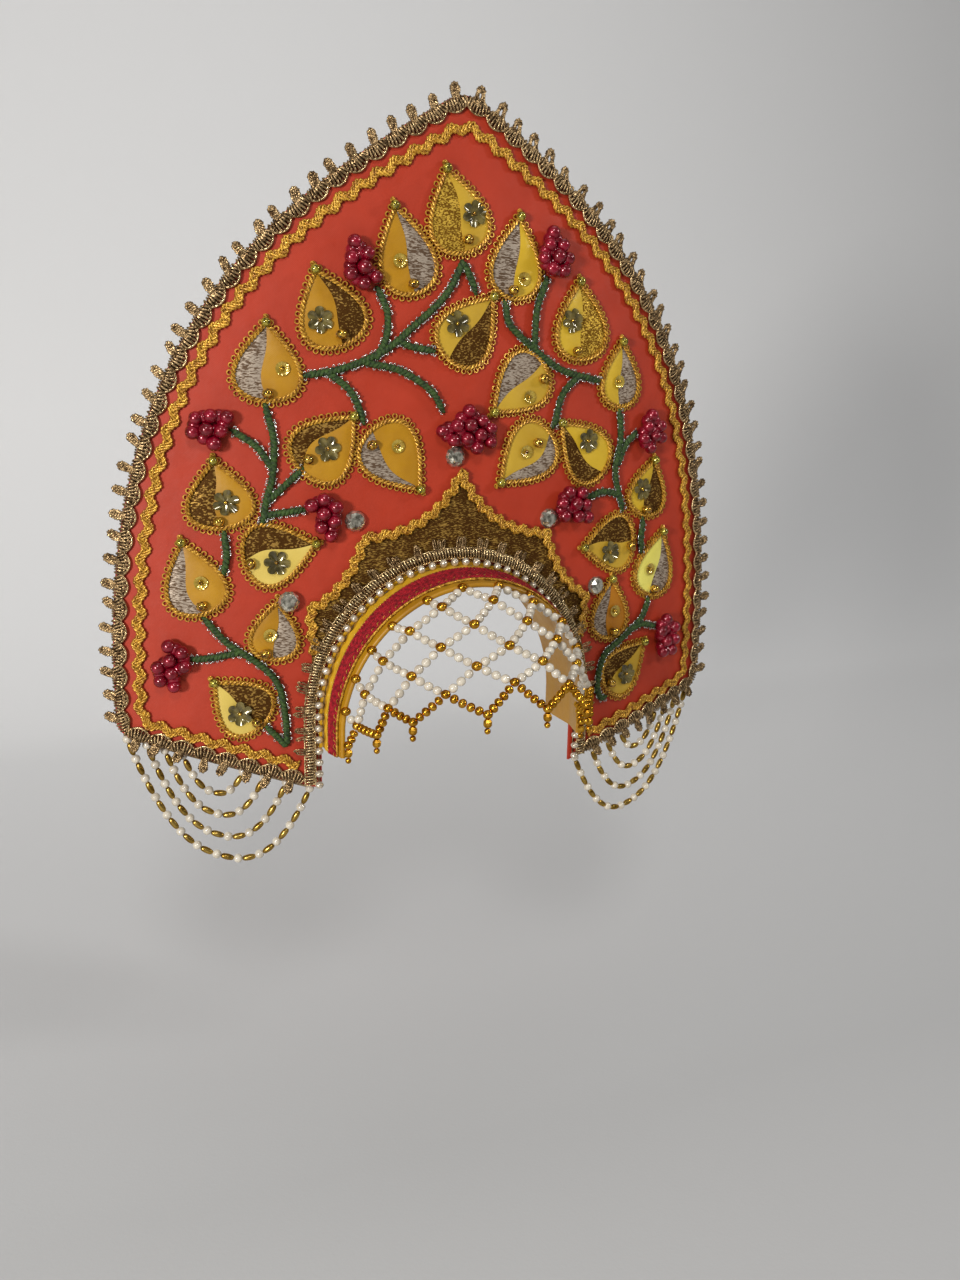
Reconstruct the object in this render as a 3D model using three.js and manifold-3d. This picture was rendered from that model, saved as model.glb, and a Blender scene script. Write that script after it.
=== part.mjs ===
// Kokoshnik headdress, in millimetres, +Z up, front facing -Y, +X to the viewer's right.
// A pointed crest board, bent back around a vertical axis, stands on a head band. Leaves, berries,
// vines, stones and braids are sewn on its front, a net of pearls hangs over the forehead, and
// strings of pearls swing under each wing. The origin is where the band's underside sits on top
// of the head.
import * as THREE from 'three';
import { mergeVertices } from 'three/addons/utils/BufferGeometryUtils.js';
import Module from 'manifold-3d';

const wasm = await Module();
wasm.setup();

// Driving sizes
const BEND_RADIUS = 602;        // the board's front curls back around this radius
const GAP = 0.3;                // clearance between pieces that are sewn together
const BOARD_THICK = 3;
const CREST_TOP = 280;          // tip of the line that the edge braid follows
const SIDE_HALF = 211.5;        // half width of that line, at its widest
const SIDE_LOW = -64.5;         // where the side turns straight down
const SHOULDER_UP = 217;        // the two handles that shape the pointed arch
const SHOULDER_HALF = 107;
const FLANK_UP = 148;
const FLANK_HALF = 209.6;
const WING_INNER = 92;          // inner end of the wing's lower edge
const WING_INNER_UP = -135;
const WING_SLOPE = 0.317;       // rise of the lower edge towards the outer corner
const CORNER_ROUND = 9;

// Head opening: half an ellipse on two straight legs
const SPRING_UP = -93.5;        // where the legs turn into the arch
const HEAD_RISE = 93.5;         // from there to the underside of the band, at the origin
const HEAD_HALF = 85.1;
const BAND_WALL = 3;
const BAND_END_UP = -112;
const BAND_BACK = 38;           // how far the band reaches behind the board
const RIM_TAPER_HALF = 4.6;     // how much the front rim is drawn in at the sides
const RIM_TAPER_RISE = 5.5;     // and at the top
const RIM_FRONT_LEG = 18;       // how far the rim stands in front of the board, at the legs
const RIM_FRONT_TOP = 36;       // and at the top
const OPENING_HALF = 89.3;
const OPENING_RISE = 97.1;

// Trims
const BRAID_HALF = 4;           // half width of the edge galloon
const GALLOON_THICK = 3;
const PICOT_PITCH = 14;
const EDGE_PICOT = 9;           // how far a loop stands out of the edge galloon
const OPENING_PICOT = 7;        // and out of the opening's galloon
const RIC_HALF = 3.6;           // half the width that its waves take up
const RIC_STEP = 24;
const RIC_THICK = 1.5;
const RIC_INSET_SIDE = 12;
const RIC_INSET_LOW = 8.5;
const BEAD_ROW = 3.5;
const PANEL_THICK = 1.2;
const LEAF_FOOT = 0.7;          // a flat leaf on the bent board stands clear at its middle
const LEAF_RIDGE = 3.6;
const LEAF_DISH = 1.9;
const LEAF_RIM = 4;
const LEAF_SIDES = 10;
const LEAF_POINT = 1.2;         // how sharply a leaf draws in to its tip
const LEAF_TIP_INSET = 1.4;     // an inset line stays this much further back from the tip
const BERRY = 8.6;
const STONE = 13.4;
const STONE_SIDES = 10;
const VINE = 4;
const STRAND = 4;
const HEM = 4.4;
const HEM_DROP = 12;
const SWAG = 5;
const STRING_SIDES = 8;

// Solids. Flat pieces are drawn as (along, up) on the unrolled board with their height out from
// its front, and then bent with it.
const spot = (along, up, out) => new THREE.Vector3(along, -out, up);

function volumeOf(positions, faces) {
  let six = 0;
  const [a, b, c] = [new THREE.Vector3(), new THREE.Vector3(), new THREE.Vector3()];
  for (let i = 0; i < faces.length; i += 3) {
    a.fromArray(positions, 3 * faces[i]);
    b.fromArray(positions, 3 * faces[i + 1]);
    c.fromArray(positions, 3 * faces[i + 2]);
    six += a.dot(b.cross(c));
  }
  return six / 6;
}

function solid(positions, faces) {
  const geometry = new THREE.BufferGeometry();
  const outward = volumeOf(positions, faces) > 0;
  const turned = outward ? Array.from(faces) : Array.from(faces).reverse();
  geometry.setAttribute('position', new THREE.Float32BufferAttribute(positions, 3));
  geometry.setIndex(turned);
  return geometry;
}

function welded(geometry) {
  const bare = geometry.clone();
  bare.deleteAttribute('normal');
  bare.deleteAttribute('uv');
  const merged = mergeVertices(bare, 1e-4);
  return solid(Array.from(merged.attributes.position.array), merged.index.array);
}

function fuse(geometries) {
  const bodies = geometries.map((geometry) => {
    const closed = welded(geometry);
    return new wasm.Manifold(new wasm.Mesh({
      numProp: 3,
      vertProperties: new Float32Array(closed.attributes.position.array),
      triVerts: new Uint32Array(closed.index.array),
    }));
  });
  const joined = bodies.reduce((whole, body) => whole.add(body)).getMesh();
  return solid(Array.from(joined.vertProperties), joined.triVerts);
}

function bend(geometry) {
  const at = geometry.attributes.position;
  for (let i = 0; i < at.count; i += 1) {
    const angle = at.getX(i) / BEND_RADIUS;
    const radius = BEND_RADIUS - at.getY(i);
    at.setX(i, radius * Math.sin(angle));
    at.setY(i, BEND_RADIUS - radius * Math.cos(angle));
  }
  return geometry;
}

// A wall between two grids of points, one on each face, closed all round its edges
function wall(front, back) {
  const rows = front.length;
  const columns = front[0].length;
  const positions = [];
  for (const grid of [front, back]) {
    grid.flat().forEach((point) => positions.push(point.x, point.y, point.z));
  }
  const faces = [];
  const F = (i, j) => i * columns + j;
  const B = (i, j) => rows * columns + i * columns + j;
  const quad = (a, b, c, d) => faces.push(a, b, c, a, c, d);
  const [lastRow, lastColumn] = [rows - 1, columns - 1];
  for (let i = 0; i < lastRow; i += 1) {
    for (let j = 0; j < lastColumn; j += 1) {
      quad(F(i, j), F(i + 1, j), F(i + 1, j + 1), F(i, j + 1));
      quad(B(i, j), B(i, j + 1), B(i + 1, j + 1), B(i + 1, j));
    }
    quad(F(i, 0), B(i, 0), B(i + 1, 0), F(i + 1, 0));
    quad(F(i, lastColumn), F(i + 1, lastColumn), B(i + 1, lastColumn), B(i, lastColumn));
  }
  for (let j = 0; j < lastColumn; j += 1) {
    quad(F(0, j), F(0, j + 1), B(0, j + 1), B(0, j));
    quad(F(lastRow, j), B(lastRow, j), B(lastRow, j + 1), F(lastRow, j + 1));
  }
  return solid(positions, faces);
}

// A flat hoop between an inner and an outer line, cut across into a few rings
function hoop(inner, outer, rings, near, far) {
  const grid = (out) => inner.map((start, i) => {
    const row = [];
    for (let j = 0; j <= rings; j += 1) {
      const point = start.clone().lerp(outer[i], j / rings);
      row.push(spot(point.x, point.y, out));
    }
    return row;
  });
  return wall(grid(far), grid(near));
}

// Loops of equal length stacked on each other, both ends capped by a fan from one of their points
function stack(loops, hub = 0) {
  const count = loops[0].length;
  const last = (loops.length - 1) * count;
  const positions = loops.flat().flatMap((point) => [point.x, point.y, point.z]);
  const faces = [];
  for (let k = 0; k + 1 < loops.length; k += 1) {
    for (let i = 0; i < count; i += 1) {
      const [a, b] = [k * count + i, k * count + (i + 1) % count];
      faces.push(a, b, b + count, a, b + count, a + count);
    }
  }
  for (let i = 1; i + 1 < count; i += 1) {
    const [b, c] = [(hub + i) % count, (hub + i + 1) % count];
    faces.push(hub, c, b, last + hub, last + b, last + c);
  }
  return solid(positions, faces);
}

// A round bar bent sharply at each of its points, facing away from a place behind it
function pipe(points, diameter, sides, behind) {
  return stack(points.map((point, i) => {
    const before = points[Math.max(0, i - 1)];
    const after = points[Math.min(points.length - 1, i + 1)];
    const travel = after.clone().sub(before).normalize();
    const across = point.clone().sub(behind).cross(travel).normalize();
    const away = travel.clone().cross(across);
    return Array.from({ length: sides }, (_, k) => {
      const angle = (k + 0.5) * 2 * Math.PI / sides;
      return point.clone().addScaledVector(across, diameter / 2 * Math.cos(angle))
        .addScaledVector(away, diameter / 2 * Math.sin(angle));
    });
  }));
}

function tube(points, diameter, sides, stepLength) {
  const curve = new THREE.CatmullRomCurve3(points, false, 'centripetal');
  const section = new THREE.Shape();
  for (let i = 0; i < sides; i += 1) {
    const angle = (i + 0.5) * 2 * Math.PI / sides;
    const radius = diameter / 2;
    section[i ? 'lineTo' : 'moveTo'](radius * Math.cos(angle), radius * Math.sin(angle));
  }
  const steps = Math.max(1, Math.round(curve.getLength() / stepLength));
  return new THREE.ExtrudeGeometry(section, { steps, extrudePath: curve, bevelEnabled: false });
}

// Outlines, each drawn for the left half, from the lower inner end up to the middle
const mirror = (point) => new THREE.Vector2(-point.x, point.y);
const bothSides = (left) => [...left, ...left.slice(0, -1).reverse().map(mirror)];
const lowerEdge = (along) => WING_INNER_UP + WING_SLOPE * (Math.abs(along) - WING_INNER);

// The crest's edge, set out from the braid's line by one distance at the side, another below
function edgePath(sideOut, lowOut, innerEnd) {
  const shoulder = new THREE.Vector2(SHOULDER_HALF, CREST_TOP - SHOULDER_UP);
  const topRise = sideOut * shoulder.length() / shoulder.x;
  const shift = new THREE.Vector2(shoulder.y, shoulder.x).setLength(sideOut);
  const side = -(SIDE_HALF + sideOut);
  const drop = lowOut * Math.hypot(1, WING_SLOPE);
  const low = (along) => lowerEdge(along) - drop;
  const path = new THREE.Path();
  path.moveTo(-innerEnd, low(innerEnd));
  path.lineTo(side + CORNER_ROUND, low(side + CORNER_ROUND));
  path.quadraticCurveTo(side, low(side), side, low(side) + CORNER_ROUND);
  path.lineTo(side, SIDE_LOW);
  path.bezierCurveTo(-(FLANK_HALF + sideOut), FLANK_UP,
    -(SHOULDER_HALF + shift.x), SHOULDER_UP + shift.y, 0, CREST_TOP + topRise);
  return path;
}

// The head opening, set out from its edge by one distance
function openingPath(out, endUp) {
  const path = new THREE.Path();
  path.moveTo(-(OPENING_HALF + out), endUp);
  path.lineTo(-(OPENING_HALF + out), SPRING_UP);
  path.absellipse(0, SPRING_UP, OPENING_HALF + out, OPENING_RISE + out, Math.PI, Math.PI / 2, true);
  return path;
}

function along(path, count) {
  const points = [];
  for (let i = 0; i <= count; i += 1) {
    points.push(path.getPoint(i / count));
  }
  return points;
}

function outwardAt(path, share) {
  const travel = path.getTangent(share);
  return new THREE.Vector2(-travel.y, travel.x);
}

// A braid whose outer line stands out in a loop every pitch, above a lowest height
function picotBraid(innerPath, outerPath, picot, lowest, near) {
  const count = 2 * Math.round(outerPath.getLength() / PICOT_PITCH);
  const [inner, outer] = [[], []];
  for (let i = 0; i <= count; i += 1) {
    const share = i / count;
    const edge = outerPath.getPoint(share);
    const loops = i % 2 && edge.y > lowest;
    inner.push(innerPath.getPoint(share));
    outer.push(loops ? edge.addScaledVector(outwardAt(outerPath, share), picot) : edge);
  }
  return hoop(bothSides(inner), bothSides(outer), 1, near, near + GALLOON_THICK);
}

// A flat braid along the left half of a line, carried on over the right half
function ricRac(path, stepLength, near, start = 0) {
  const count = Math.round(path.getLength() / stepLength);
  const [inner, outer] = [[], []];
  for (let i = 0; i <= count; i += 1) {
    const share = start + (1 - start) * i / count;
    const middle = path.getPoint(share);
    const out = i < count ? outwardAt(path, share) : new THREE.Vector2(0, 1);
    inner.push(middle.clone().addScaledVector(out, -RIC_HALF));
    outer.push(middle.clone().addScaledVector(out, RIC_HALF));
  }
  return hoop(bothSides(inner), bothSides(outer), 1, near, near + RIC_THICK);
}

// Crest board and the braids round its edge
const BOARD_SECTIONS = 16;
const BOARD_RINGS = 4;
const GALLOON_INNER_END = 101.5;
const RIC_INNER_END = 113;

function crestBoard() {
  const edge = edgePath(BRAID_HALF, BRAID_HALF, OPENING_HALF);
  const lower = edge.curves[0];
  const rest = new THREE.Path();
  rest.curves.push(...edge.curves.slice(1));
  const opening = openingPath(0, lower.v1.y);
  const outer = along(rest, BOARD_SECTIONS);
  return hoop(bothSides(along(opening, BOARD_SECTIONS)), bothSides(outer), BOARD_RINGS,
    -BOARD_THICK, 0);
}

function edgeGalloon() {
  const [inner, outer] = [-BRAID_HALF, BRAID_HALF].map((out) => edgePath(out, out, GALLOON_INNER_END));
  return picotBraid(inner, outer, EDGE_PICOT, -Infinity, GAP);
}

function edgeRicRac() {
  return ricRac(edgePath(-RIC_INSET_SIDE, -RIC_INSET_LOW, RIC_INNER_END), RIC_STEP, GAP);
}

// Crown panel: a five-pointed patch of lame round the opening
const OPENING_BRAID_NEAR = BEAD_ROW + 2 * GAP;
const OPENING_BRAID_FAR = OPENING_BRAID_NEAR + 7;
const OPENING_BRAID_END_UP = -136;
const PANEL_TIP = new THREE.Vector2(0, 62);
const PANEL_SHOULDER = new THREE.Vector2(-62, 22);
const PANEL_POINT = new THREE.Vector2(-95.5, -21.5);
const PANEL_FOOT = new THREE.Vector2(-92.6, -50);
const PANEL_HOLLOWS = {
  upper: new THREE.Vector2(-17, 24),
  middle: new THREE.Vector2(-72.5, -12),
  lower: new THREE.Vector2(-95.5, -40),
};
const PANEL_SECTIONS = 17;
const PANEL_START = 0.4;        // how far up the opening's line the patch begins
const PANEL_RINGS = 2;
const PANEL_EDGE = 2.5;         // how far the cloth stays inside its braid's middle line

function panelPath() {
  const path = new THREE.Path();
  path.moveTo(PANEL_FOOT.x, PANEL_FOOT.y);
  path.quadraticCurveTo(PANEL_HOLLOWS.lower.x, PANEL_HOLLOWS.lower.y, PANEL_POINT.x, PANEL_POINT.y);
  path.quadraticCurveTo(PANEL_HOLLOWS.middle.x, PANEL_HOLLOWS.middle.y,
    PANEL_SHOULDER.x, PANEL_SHOULDER.y);
  path.quadraticCurveTo(PANEL_HOLLOWS.upper.x, PANEL_HOLLOWS.upper.y, PANEL_TIP.x, PANEL_TIP.y);
  return path;
}

// Its inner part runs on down both legs as a strip under the opening's galloon
function crownPanel() {
  const strip = openingPath(OPENING_BRAID_FAR - PANEL_EDGE, OPENING_BRAID_END_UP);
  const inner = along(openingPath(OPENING_BRAID_NEAR, OPENING_BRAID_END_UP), PANEL_SECTIONS);
  const edge = panelPath();
  const outer = along(strip, PANEL_SECTIONS).map((point, i) => {
    const share = (i / PANEL_SECTIONS - PANEL_START) / (1 - PANEL_START);
    if (share < 0) return point;
    const reach = edge.getPoint(share).sub(inner[i]);
    return inner[i].clone().add(reach.setLength(reach.length() - PANEL_EDGE));
  });
  return hoop(bothSides(inner), bothSides(outer), PANEL_RINGS, GAP, GAP + PANEL_THICK);
}

const ON_PANEL = GAP + PANEL_THICK + GAP;
const CROWN_RIC_STEP = 9;
const CROWN_RIC_START = 0.14;   // the braid stops short of the galloon's loops
const crownRicRac = () => ricRac(panelPath(), CROWN_RIC_STEP, ON_PANEL, CROWN_RIC_START);

// The opening's galloon lies on the panel
const PICOT_LOWEST_UP = -116;
const OPENING_LINE_STEP = 14;

function openingGalloon() {
  const [near, far] = [OPENING_BRAID_NEAR, OPENING_BRAID_FAR].map((out) => (
    openingPath(out, OPENING_BRAID_END_UP)));
  return picotBraid(near, far, OPENING_PICOT, PICOT_LOWEST_UP, ON_PANEL);
}

function openingBeads() {
  const path = openingPath(BEAD_ROW / 2 + GAP, OPENING_BRAID_END_UP);
  const out = GAP + BEAD_ROW / 2;
  const count = Math.round(path.getLength() / OPENING_LINE_STEP);
  const line = bothSides(along(path, count)).map((point) => spot(point.x, point.y, out));
  return tube(line, BEAD_ROW, STRING_SIDES, OPENING_LINE_STEP);
}

// Head band: a wall that stands out in front of the board, drawn in to its rim, and runs on behind
const BAND_ARCH_STEPS = 24;

function archAngles() {
  const angles = [];
  for (let i = 0; i <= BAND_ARCH_STEPS; i += 1) {
    angles.push(Math.PI - Math.PI * i / BAND_ARCH_STEPS);
  }
  return angles;
}

// A point of the band, front 0 at the board and 1 at the rim, out from the inner face
function bandPoint(angle, front, out) {
  const half = HEAD_HALF - RIM_TAPER_HALF * front + out;
  const rise = HEAD_RISE - RIM_TAPER_RISE * front + out;
  const reach = RIM_FRONT_LEG + (RIM_FRONT_TOP - RIM_FRONT_LEG) * Math.sin(angle);
  return new THREE.Vector3(half * Math.cos(angle), -reach * front, SPRING_UP + rise * Math.sin(angle));
}

function bandRows(stations, out) {
  const row = (angle) => stations.map((station) => {
    const point = bandPoint(angle, station.front, out);
    return point.setY(point.y + (station.back ?? 0));
  });
  const rows = archAngles().map(row);
  const foot = (leg) => leg.map((point) => point.clone().setZ(BAND_END_UP));
  return [foot(rows[0]), ...rows, foot(rows.at(-1))];
}

function headBand() {
  const stations = [{ front: 1 }, { front: 0 }, { front: 0, back: BAND_BACK }];
  return wall(bandRows(stations, BAND_WALL), bandRows(stations, 0));
}

const BRAID_SHARES = { rimSide: 0.7, boardSide: 0.34 };   // where the red braid lies on the band
const RED_BRAID_THICK = 2.4;

function bandBraid() {
  const stations = [{ front: BRAID_SHARES.rimSide }, { front: BRAID_SHARES.boardSide }];
  const foot = BAND_WALL + GAP;
  return wall(bandRows(stations, foot + RED_BRAID_THICK), bandRows(stations, foot));
}

// Leaves: drop-shaped patches with a raised cord round the edge
const LEAVES = [
  // name, tip along, tip up, round end along, round end up, width
  ['leaf_c1', -13, 242.5, 2, 191.5, 42],
  ['leaf_c2', 21, 171, -10.5, 129, 40],
  ['leaf_l1', -44.5, 219.5, -30.5, 166, 38.5],
  ['leaf_l2', -91.5, 181.5, -74, 134.5, 43],
  ['leaf_l3', -119, 151, -119, 101.5, 43],
  ['leaf_l4', -66.5, 97.5, -100.5, 60.5, 42],
  ['leaf_l5', -25, 49.5, -58.5, 89.5, 42],
  ['leaf_l6', -151.5, 71, -146, 26.5, 43],
  ['leaf_l7', -89, 19.5, -137, 8, 42],
  ['leaf_l8', -172, 22.5, -159, -26, 40],
  ['leaf_l9', -115.5, -14, -119, -55, 33.5],
  ['leaf_l10', -156.5, -65, -124, -96, 40],
  ['leaf_r1', 36.5, 219.5, 33.5, 166.5, 38],
  ['leaf_r2', 81.5, 184.5, 86.8, 132, 43],
  ['leaf_r3', 118.5, 149, 119, 102.5, 35.5],
  ['leaf_r4', 19.5, 97.5, 57.5, 132, 40],
  ['leaf_r5', 25.5, 53.5, 64.5, 88.5, 41],
  ['leaf_r6', 69.5, 95, 108, 59.5, 40],
  ['leaf_r7', 154, 71, 145.5, 29, 38],
  ['leaf_r8', 90.5, 10.5, 139, 13.5, 42],
  ['leaf_r9', 166.5, 20.5, 155, -28.5, 40],
  ['leaf_r10', 119, -10, 118.5, -56, 35],
  ['leaf_r11', 154.5, -59, 118, -93, 38],
];

// The drop's outline, drawn in from its edge by an inset
function leafLoop(tip, end, width, inset, out) {
  const axis = end.clone().sub(tip);
  const long = axis.length() - (1 + LEAF_TIP_INSET) * inset;
  const start = tip.clone().addScaledVector(axis.normalize(), LEAF_TIP_INSET * inset);
  const across = new THREE.Vector2(-axis.y, axis.x);
  const bulge = (turn) => Math.sin(turn) * Math.sin(turn / 2) ** LEAF_POINT;
  const widest = 2 * Math.acos(1 / Math.sqrt(LEAF_POINT + 2));
  const half = (width / 2 - inset) / bulge(widest);
  const loop = [];
  for (let i = 0; i < LEAF_SIDES; i += 1) {
    const turn = 2 * Math.PI * i / LEAF_SIDES;
    const signed = turn <= Math.PI ? bulge(turn) : -bulge(2 * Math.PI - turn);
    const point = start.clone().addScaledVector(axis, long * (1 - Math.cos(turn)) / 2);
    point.addScaledVector(across, half * signed);
    loop.push(spot(point.x, point.y, out));
  }
  return loop;
}

function leaf(tip, end, width) {
  return stack([
    leafLoop(tip, end, width, 0, LEAF_FOOT),
    leafLoop(tip, end, width, LEAF_RIM / 2, LEAF_RIDGE),
    leafLoop(tip, end, width, LEAF_RIM, LEAF_DISH),
  ], LEAF_SIDES / 2);
}

// Berries: each bunch a low mound with a lobe for each berry round its edge
const BUNCHES = [
  // name, along, up, half width, half height, lobes
  ['berries_c', 4, 90.5, 18, 11.5, 8],
  ['berries_l1', -64, 183.5, 10.5, 15.5, 6],
  ['berries_l2', -152.5, 87, 13.5, 12, 6],
  ['berries_l3', -87, 35, 11, 15, 6],
  ['berries_l4', -179.5, -55.5, 12, 16.5, 7],
  ['berries_r1', 61.5, 198, 12, 15, 7],
  ['berries_r2', 146, 88, 12, 15, 6],
  ['berries_r3', 83.5, 40.5, 13.5, 12.5, 7],
  ['berries_r4', 172.5, -57.5, 11, 16, 6],
];
const MOUND = [
  // height, share of the reach
  [GAP, 0.9], [0.5 * BERRY, 1], [BERRY, 0.5],
];
const LOBE_DEPTH = 0.09;        // share of the reach that a notch between two berries cuts in

function berries(middle, reach, lobes) {
  const loop = (height, share) => Array.from({ length: 2 * lobes }, (_, i) => {
    const angle = Math.PI * i / lobes;
    const size = share * (i % 2 ? 1 - 2 * LOBE_DEPTH : 1);
    return spot(middle.x + reach.x * size * Math.cos(angle),
      middle.y + reach.y * size * Math.sin(angle), height);
  });
  return stack(MOUND.map(([height, share]) => loop(height, share)));
}

// Stones: clear round stones with a flat table and a ring of facets
const ON_LEAF_TIP = 2.6;        // one stone is sewn over the tip of a leaf
const STONES = [
  // name, along, up, seat
  ['stone_c', -3.5, 71.8, 0],
  ['stone_l1', -67.5, 32.5, 0],
  ['stone_l2', -108.5, -16.5, ON_LEAF_TIP],
  ['stone_r1', 64.5, 31.4, 0],
  ['stone_r2', 105.5, -16.5, 0],
];
const STONE_PROFILE = [
  // share of the radius, height
  [0, 0], [1, 1.2], [0.55, 5.4], [0, 5.4],
];

function stone(place, seat) {
  const profile = STONE_PROFILE.map(([share, height]) => (
    new THREE.Vector2(share * STONE / 2, height)));
  const geometry = new THREE.LatheGeometry(profile, STONE_SIDES);
  return geometry.rotateX(Math.PI).translate(place.x, -GAP - seat, place.y);
}

// Vines: green cords that branch between the leaves and the berries
const VINES = {
  vine_l_top: [
    [[-1, 188], [-12, 168], [-31, 150], [-49, 135], [-73, 124], [-95, 119]],
    [[-0.5, 187], [3, 181], [7, 172.5]],
    [[-55, 130], [-49, 141], [-48, 156], [-53, 168]],
    [[-41, 141], [-34, 137.5], [-29, 136.5]],
    [[-61, 127], [-40, 123], [-21, 112], [-13.5, 101.5]],
    [[-84, 121], [-71, 111], [-65, 100], [-63, 94]],
  ],
  vine_l_mid: [
    [[-120, 99], [-116, 81], [-117, 60], [-121, 45], [-123, 33]],
    [[-117, 64], [-126, 77], [-138, 85]],
    [[-120, 45], [-113, 52], [-105, 57]],
    [[-122.5, 36], [-107, 38.5], [-100.5, 39.5]],
  ],
  vine_l_side: [[[-146, 24], [-145, 12], [-146.5, 3]]],
  vine_l_low: [
    [[-158, -28.5], [-145, -43], [-127, -56], [-116, -69], [-112, -89], [-112, -106]],
    [[-139, -48], [-154, -51], [-166, -52]],
    [[-121, -98.5], [-117, -102.5], [-112, -104]],
  ],
  vine_r_top: [
    [[28, 164], [31, 153], [46, 141], [69, 127], [98, 121]],
    [[56, 180], [50, 163], [49, 140]],
    [[83, 123.5], [71, 111], [66, 93]],
  ],
  vine_r_mid: [
    [[119, 99.3], [120.5, 82], [117, 62], [122, 44], [125, 37]],
    [[133, 86], [125, 79], [119, 66]],
    [[97, 45], [106, 48], [115, 47], [121, 45]],
  ],
  vine_r_side: [[[145, 26], [144, 14], [145, 7]]],
  vine_r_low: [
    [[154, -31.5], [148, -43], [131, -55.5], [115.5, -65.5], [110.3, -80], [110, -93]],
    [[136, -50.5], [149, -47.5], [161, -50]],
    [[116.5, -97.3], [113.5, -97.3], [110, -91]],
  ],
};
const VINE_SIDES = 5;
const VINE_STEP = 17;

function vine(branches) {
  const out = GAP + VINE / 2;
  return fuse(branches.map((branch) => (
    tube(branch.map(([across, up]) => spot(across, up, out)), VINE, VINE_SIDES, VINE_STEP))));
}

// Forehead net: strands of pearls cross in knots, column 0 in the middle, rows counted downwards
const NET_KNOTS = [
  // column, row, x, y, z
  [0, 1, 0, -58, -9.5], [0, 3, 0, -83, -32], [0, 5, 0, -91.5, -52],
  [1, 2, 17, -70, -21], [1, 4, 21, -84.5, -42.5], [1, 6, 19, -97.5, -68],
  [2, 1, 30, -50.5, -13.5], [2, 3, 37.5, -69.5, -33.5], [2, 5, 39.5, -83.5, -58],
  [3, 2, 50, -50.5, -27], [3, 4, 54, -65.5, -50.5], [3, 6, 56.5, -76, -75],
  [4, 3, 64.5, -44.5, -45.5], [4, 5, 66.5, -60.5, -70],
  [5, 4, 73.5, -37.5, -67], [5, 6, 71, -53, -88],
  [6, 5, 76, -28.5, -89], [7, 6, 80.5, -25, -102],
];
const NET_SEATS = [
  // column, row and x of each knot sewn to the rim
  [1, 0, 12], [3, 0, 34], [4, 1, 55], [5, 2, 67], [6, 3, 76], [7, 4, 81.2],
];
const SEAT_FRONT = 1.9;         // how far a seat knot stands in front of the rim
const HEM_CLEAR = 3.8;          // how far above a peak of the hem its strands meet
const NET_SIDES = 4;
const HEM_ROW = 5;
const HEM_REACH = 7;            // the hem's last column on each side
const HEAD_MIDDLE = new THREE.Vector3(0, 0, SPRING_UP);

function rimSeat(x) {
  const middle = BAND_WALL / 2;
  const half = HEAD_HALF - RIM_TAPER_HALF + middle;
  const point = bandPoint(Math.acos(x / half), 1, middle);
  return point.setY(point.y - SEAT_FRONT);
}

function netKnots() {
  const knots = new Map();
  const keep = (column, row, point) => {
    knots.set(`${column},${row}`, point);
    knots.set(`${-column},${row}`, point.clone().setX(-point.x));
  };
  NET_KNOTS.forEach(([column, row, x, y, z]) => keep(column, row, new THREE.Vector3(x, y, z)));
  NET_SEATS.forEach(([column, row, x]) => keep(column, row, rimSeat(x)));
  return knots;
}

const KNOTS = netKnots();
const knotAt = (column, row) => KNOTS.get(`${column},${row}`);

// A strand runs from its seat on the rim down across the net, to just above the hem
function strand(column, row, lean) {
  const points = [];
  for (let step = 0; knotAt(column + lean * step, row + step) && row + step <= HEM_ROW; step += 1) {
    points.push(knotAt(column + lean * step, row + step).clone());
  }
  points.at(-1).z += HEM_CLEAR;
  return pipe(points, STRAND, NET_SIDES, HEAD_MIDDLE);
}

function pearlNet() {
  const strands = [];
  for (const [column, row] of NET_SEATS) {
    strands.push(strand(-column, row, 1), strand(column, row, -1));
    if (column === 1) strands.push(strand(column, row, 1), strand(-column, row, -1));
  }
  return fuse(strands);
}

// The hem zigzags between its peaks in row 5 and its valleys in row 6, with a drop at each valley
function netHem() {
  const zigzag = [];
  const pieces = [];
  for (let column = -HEM_REACH; column <= HEM_REACH; column += 1) {
    const valley = column % 2 !== 0;
    const knot = knotAt(column, valley ? HEM_ROW + 1 : HEM_ROW);
    zigzag.push(knot);
    if (valley) {
      pieces.push(pipe([knot, knot.clone().setZ(knot.z - HEM_DROP)], HEM, NET_SIDES, HEAD_MIDDLE));
    }
  }
  return fuse([pipe(zigzag, HEM, NET_SIDES, HEAD_MIDDLE), ...pieces]);
}

// Swags: four strings of pearls under each wing, on one thread along its lower edge
const SWAGS = [
  // outer end along, inner end along, sag
  [207, 97, 66], [197, 112, 44], [187, 126, 31], [176, 139, 16],
];
const SWAG_OUT = -3.4;          // the strings hang behind the edge braid's loops
const SWAG_POINTS = 8;
const SWAG_FULLNESS = 2.4;      // 2 hangs as a parabola, more is rounder
const THREAD = 2.4;
const THREAD_SIDES = 6;

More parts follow.
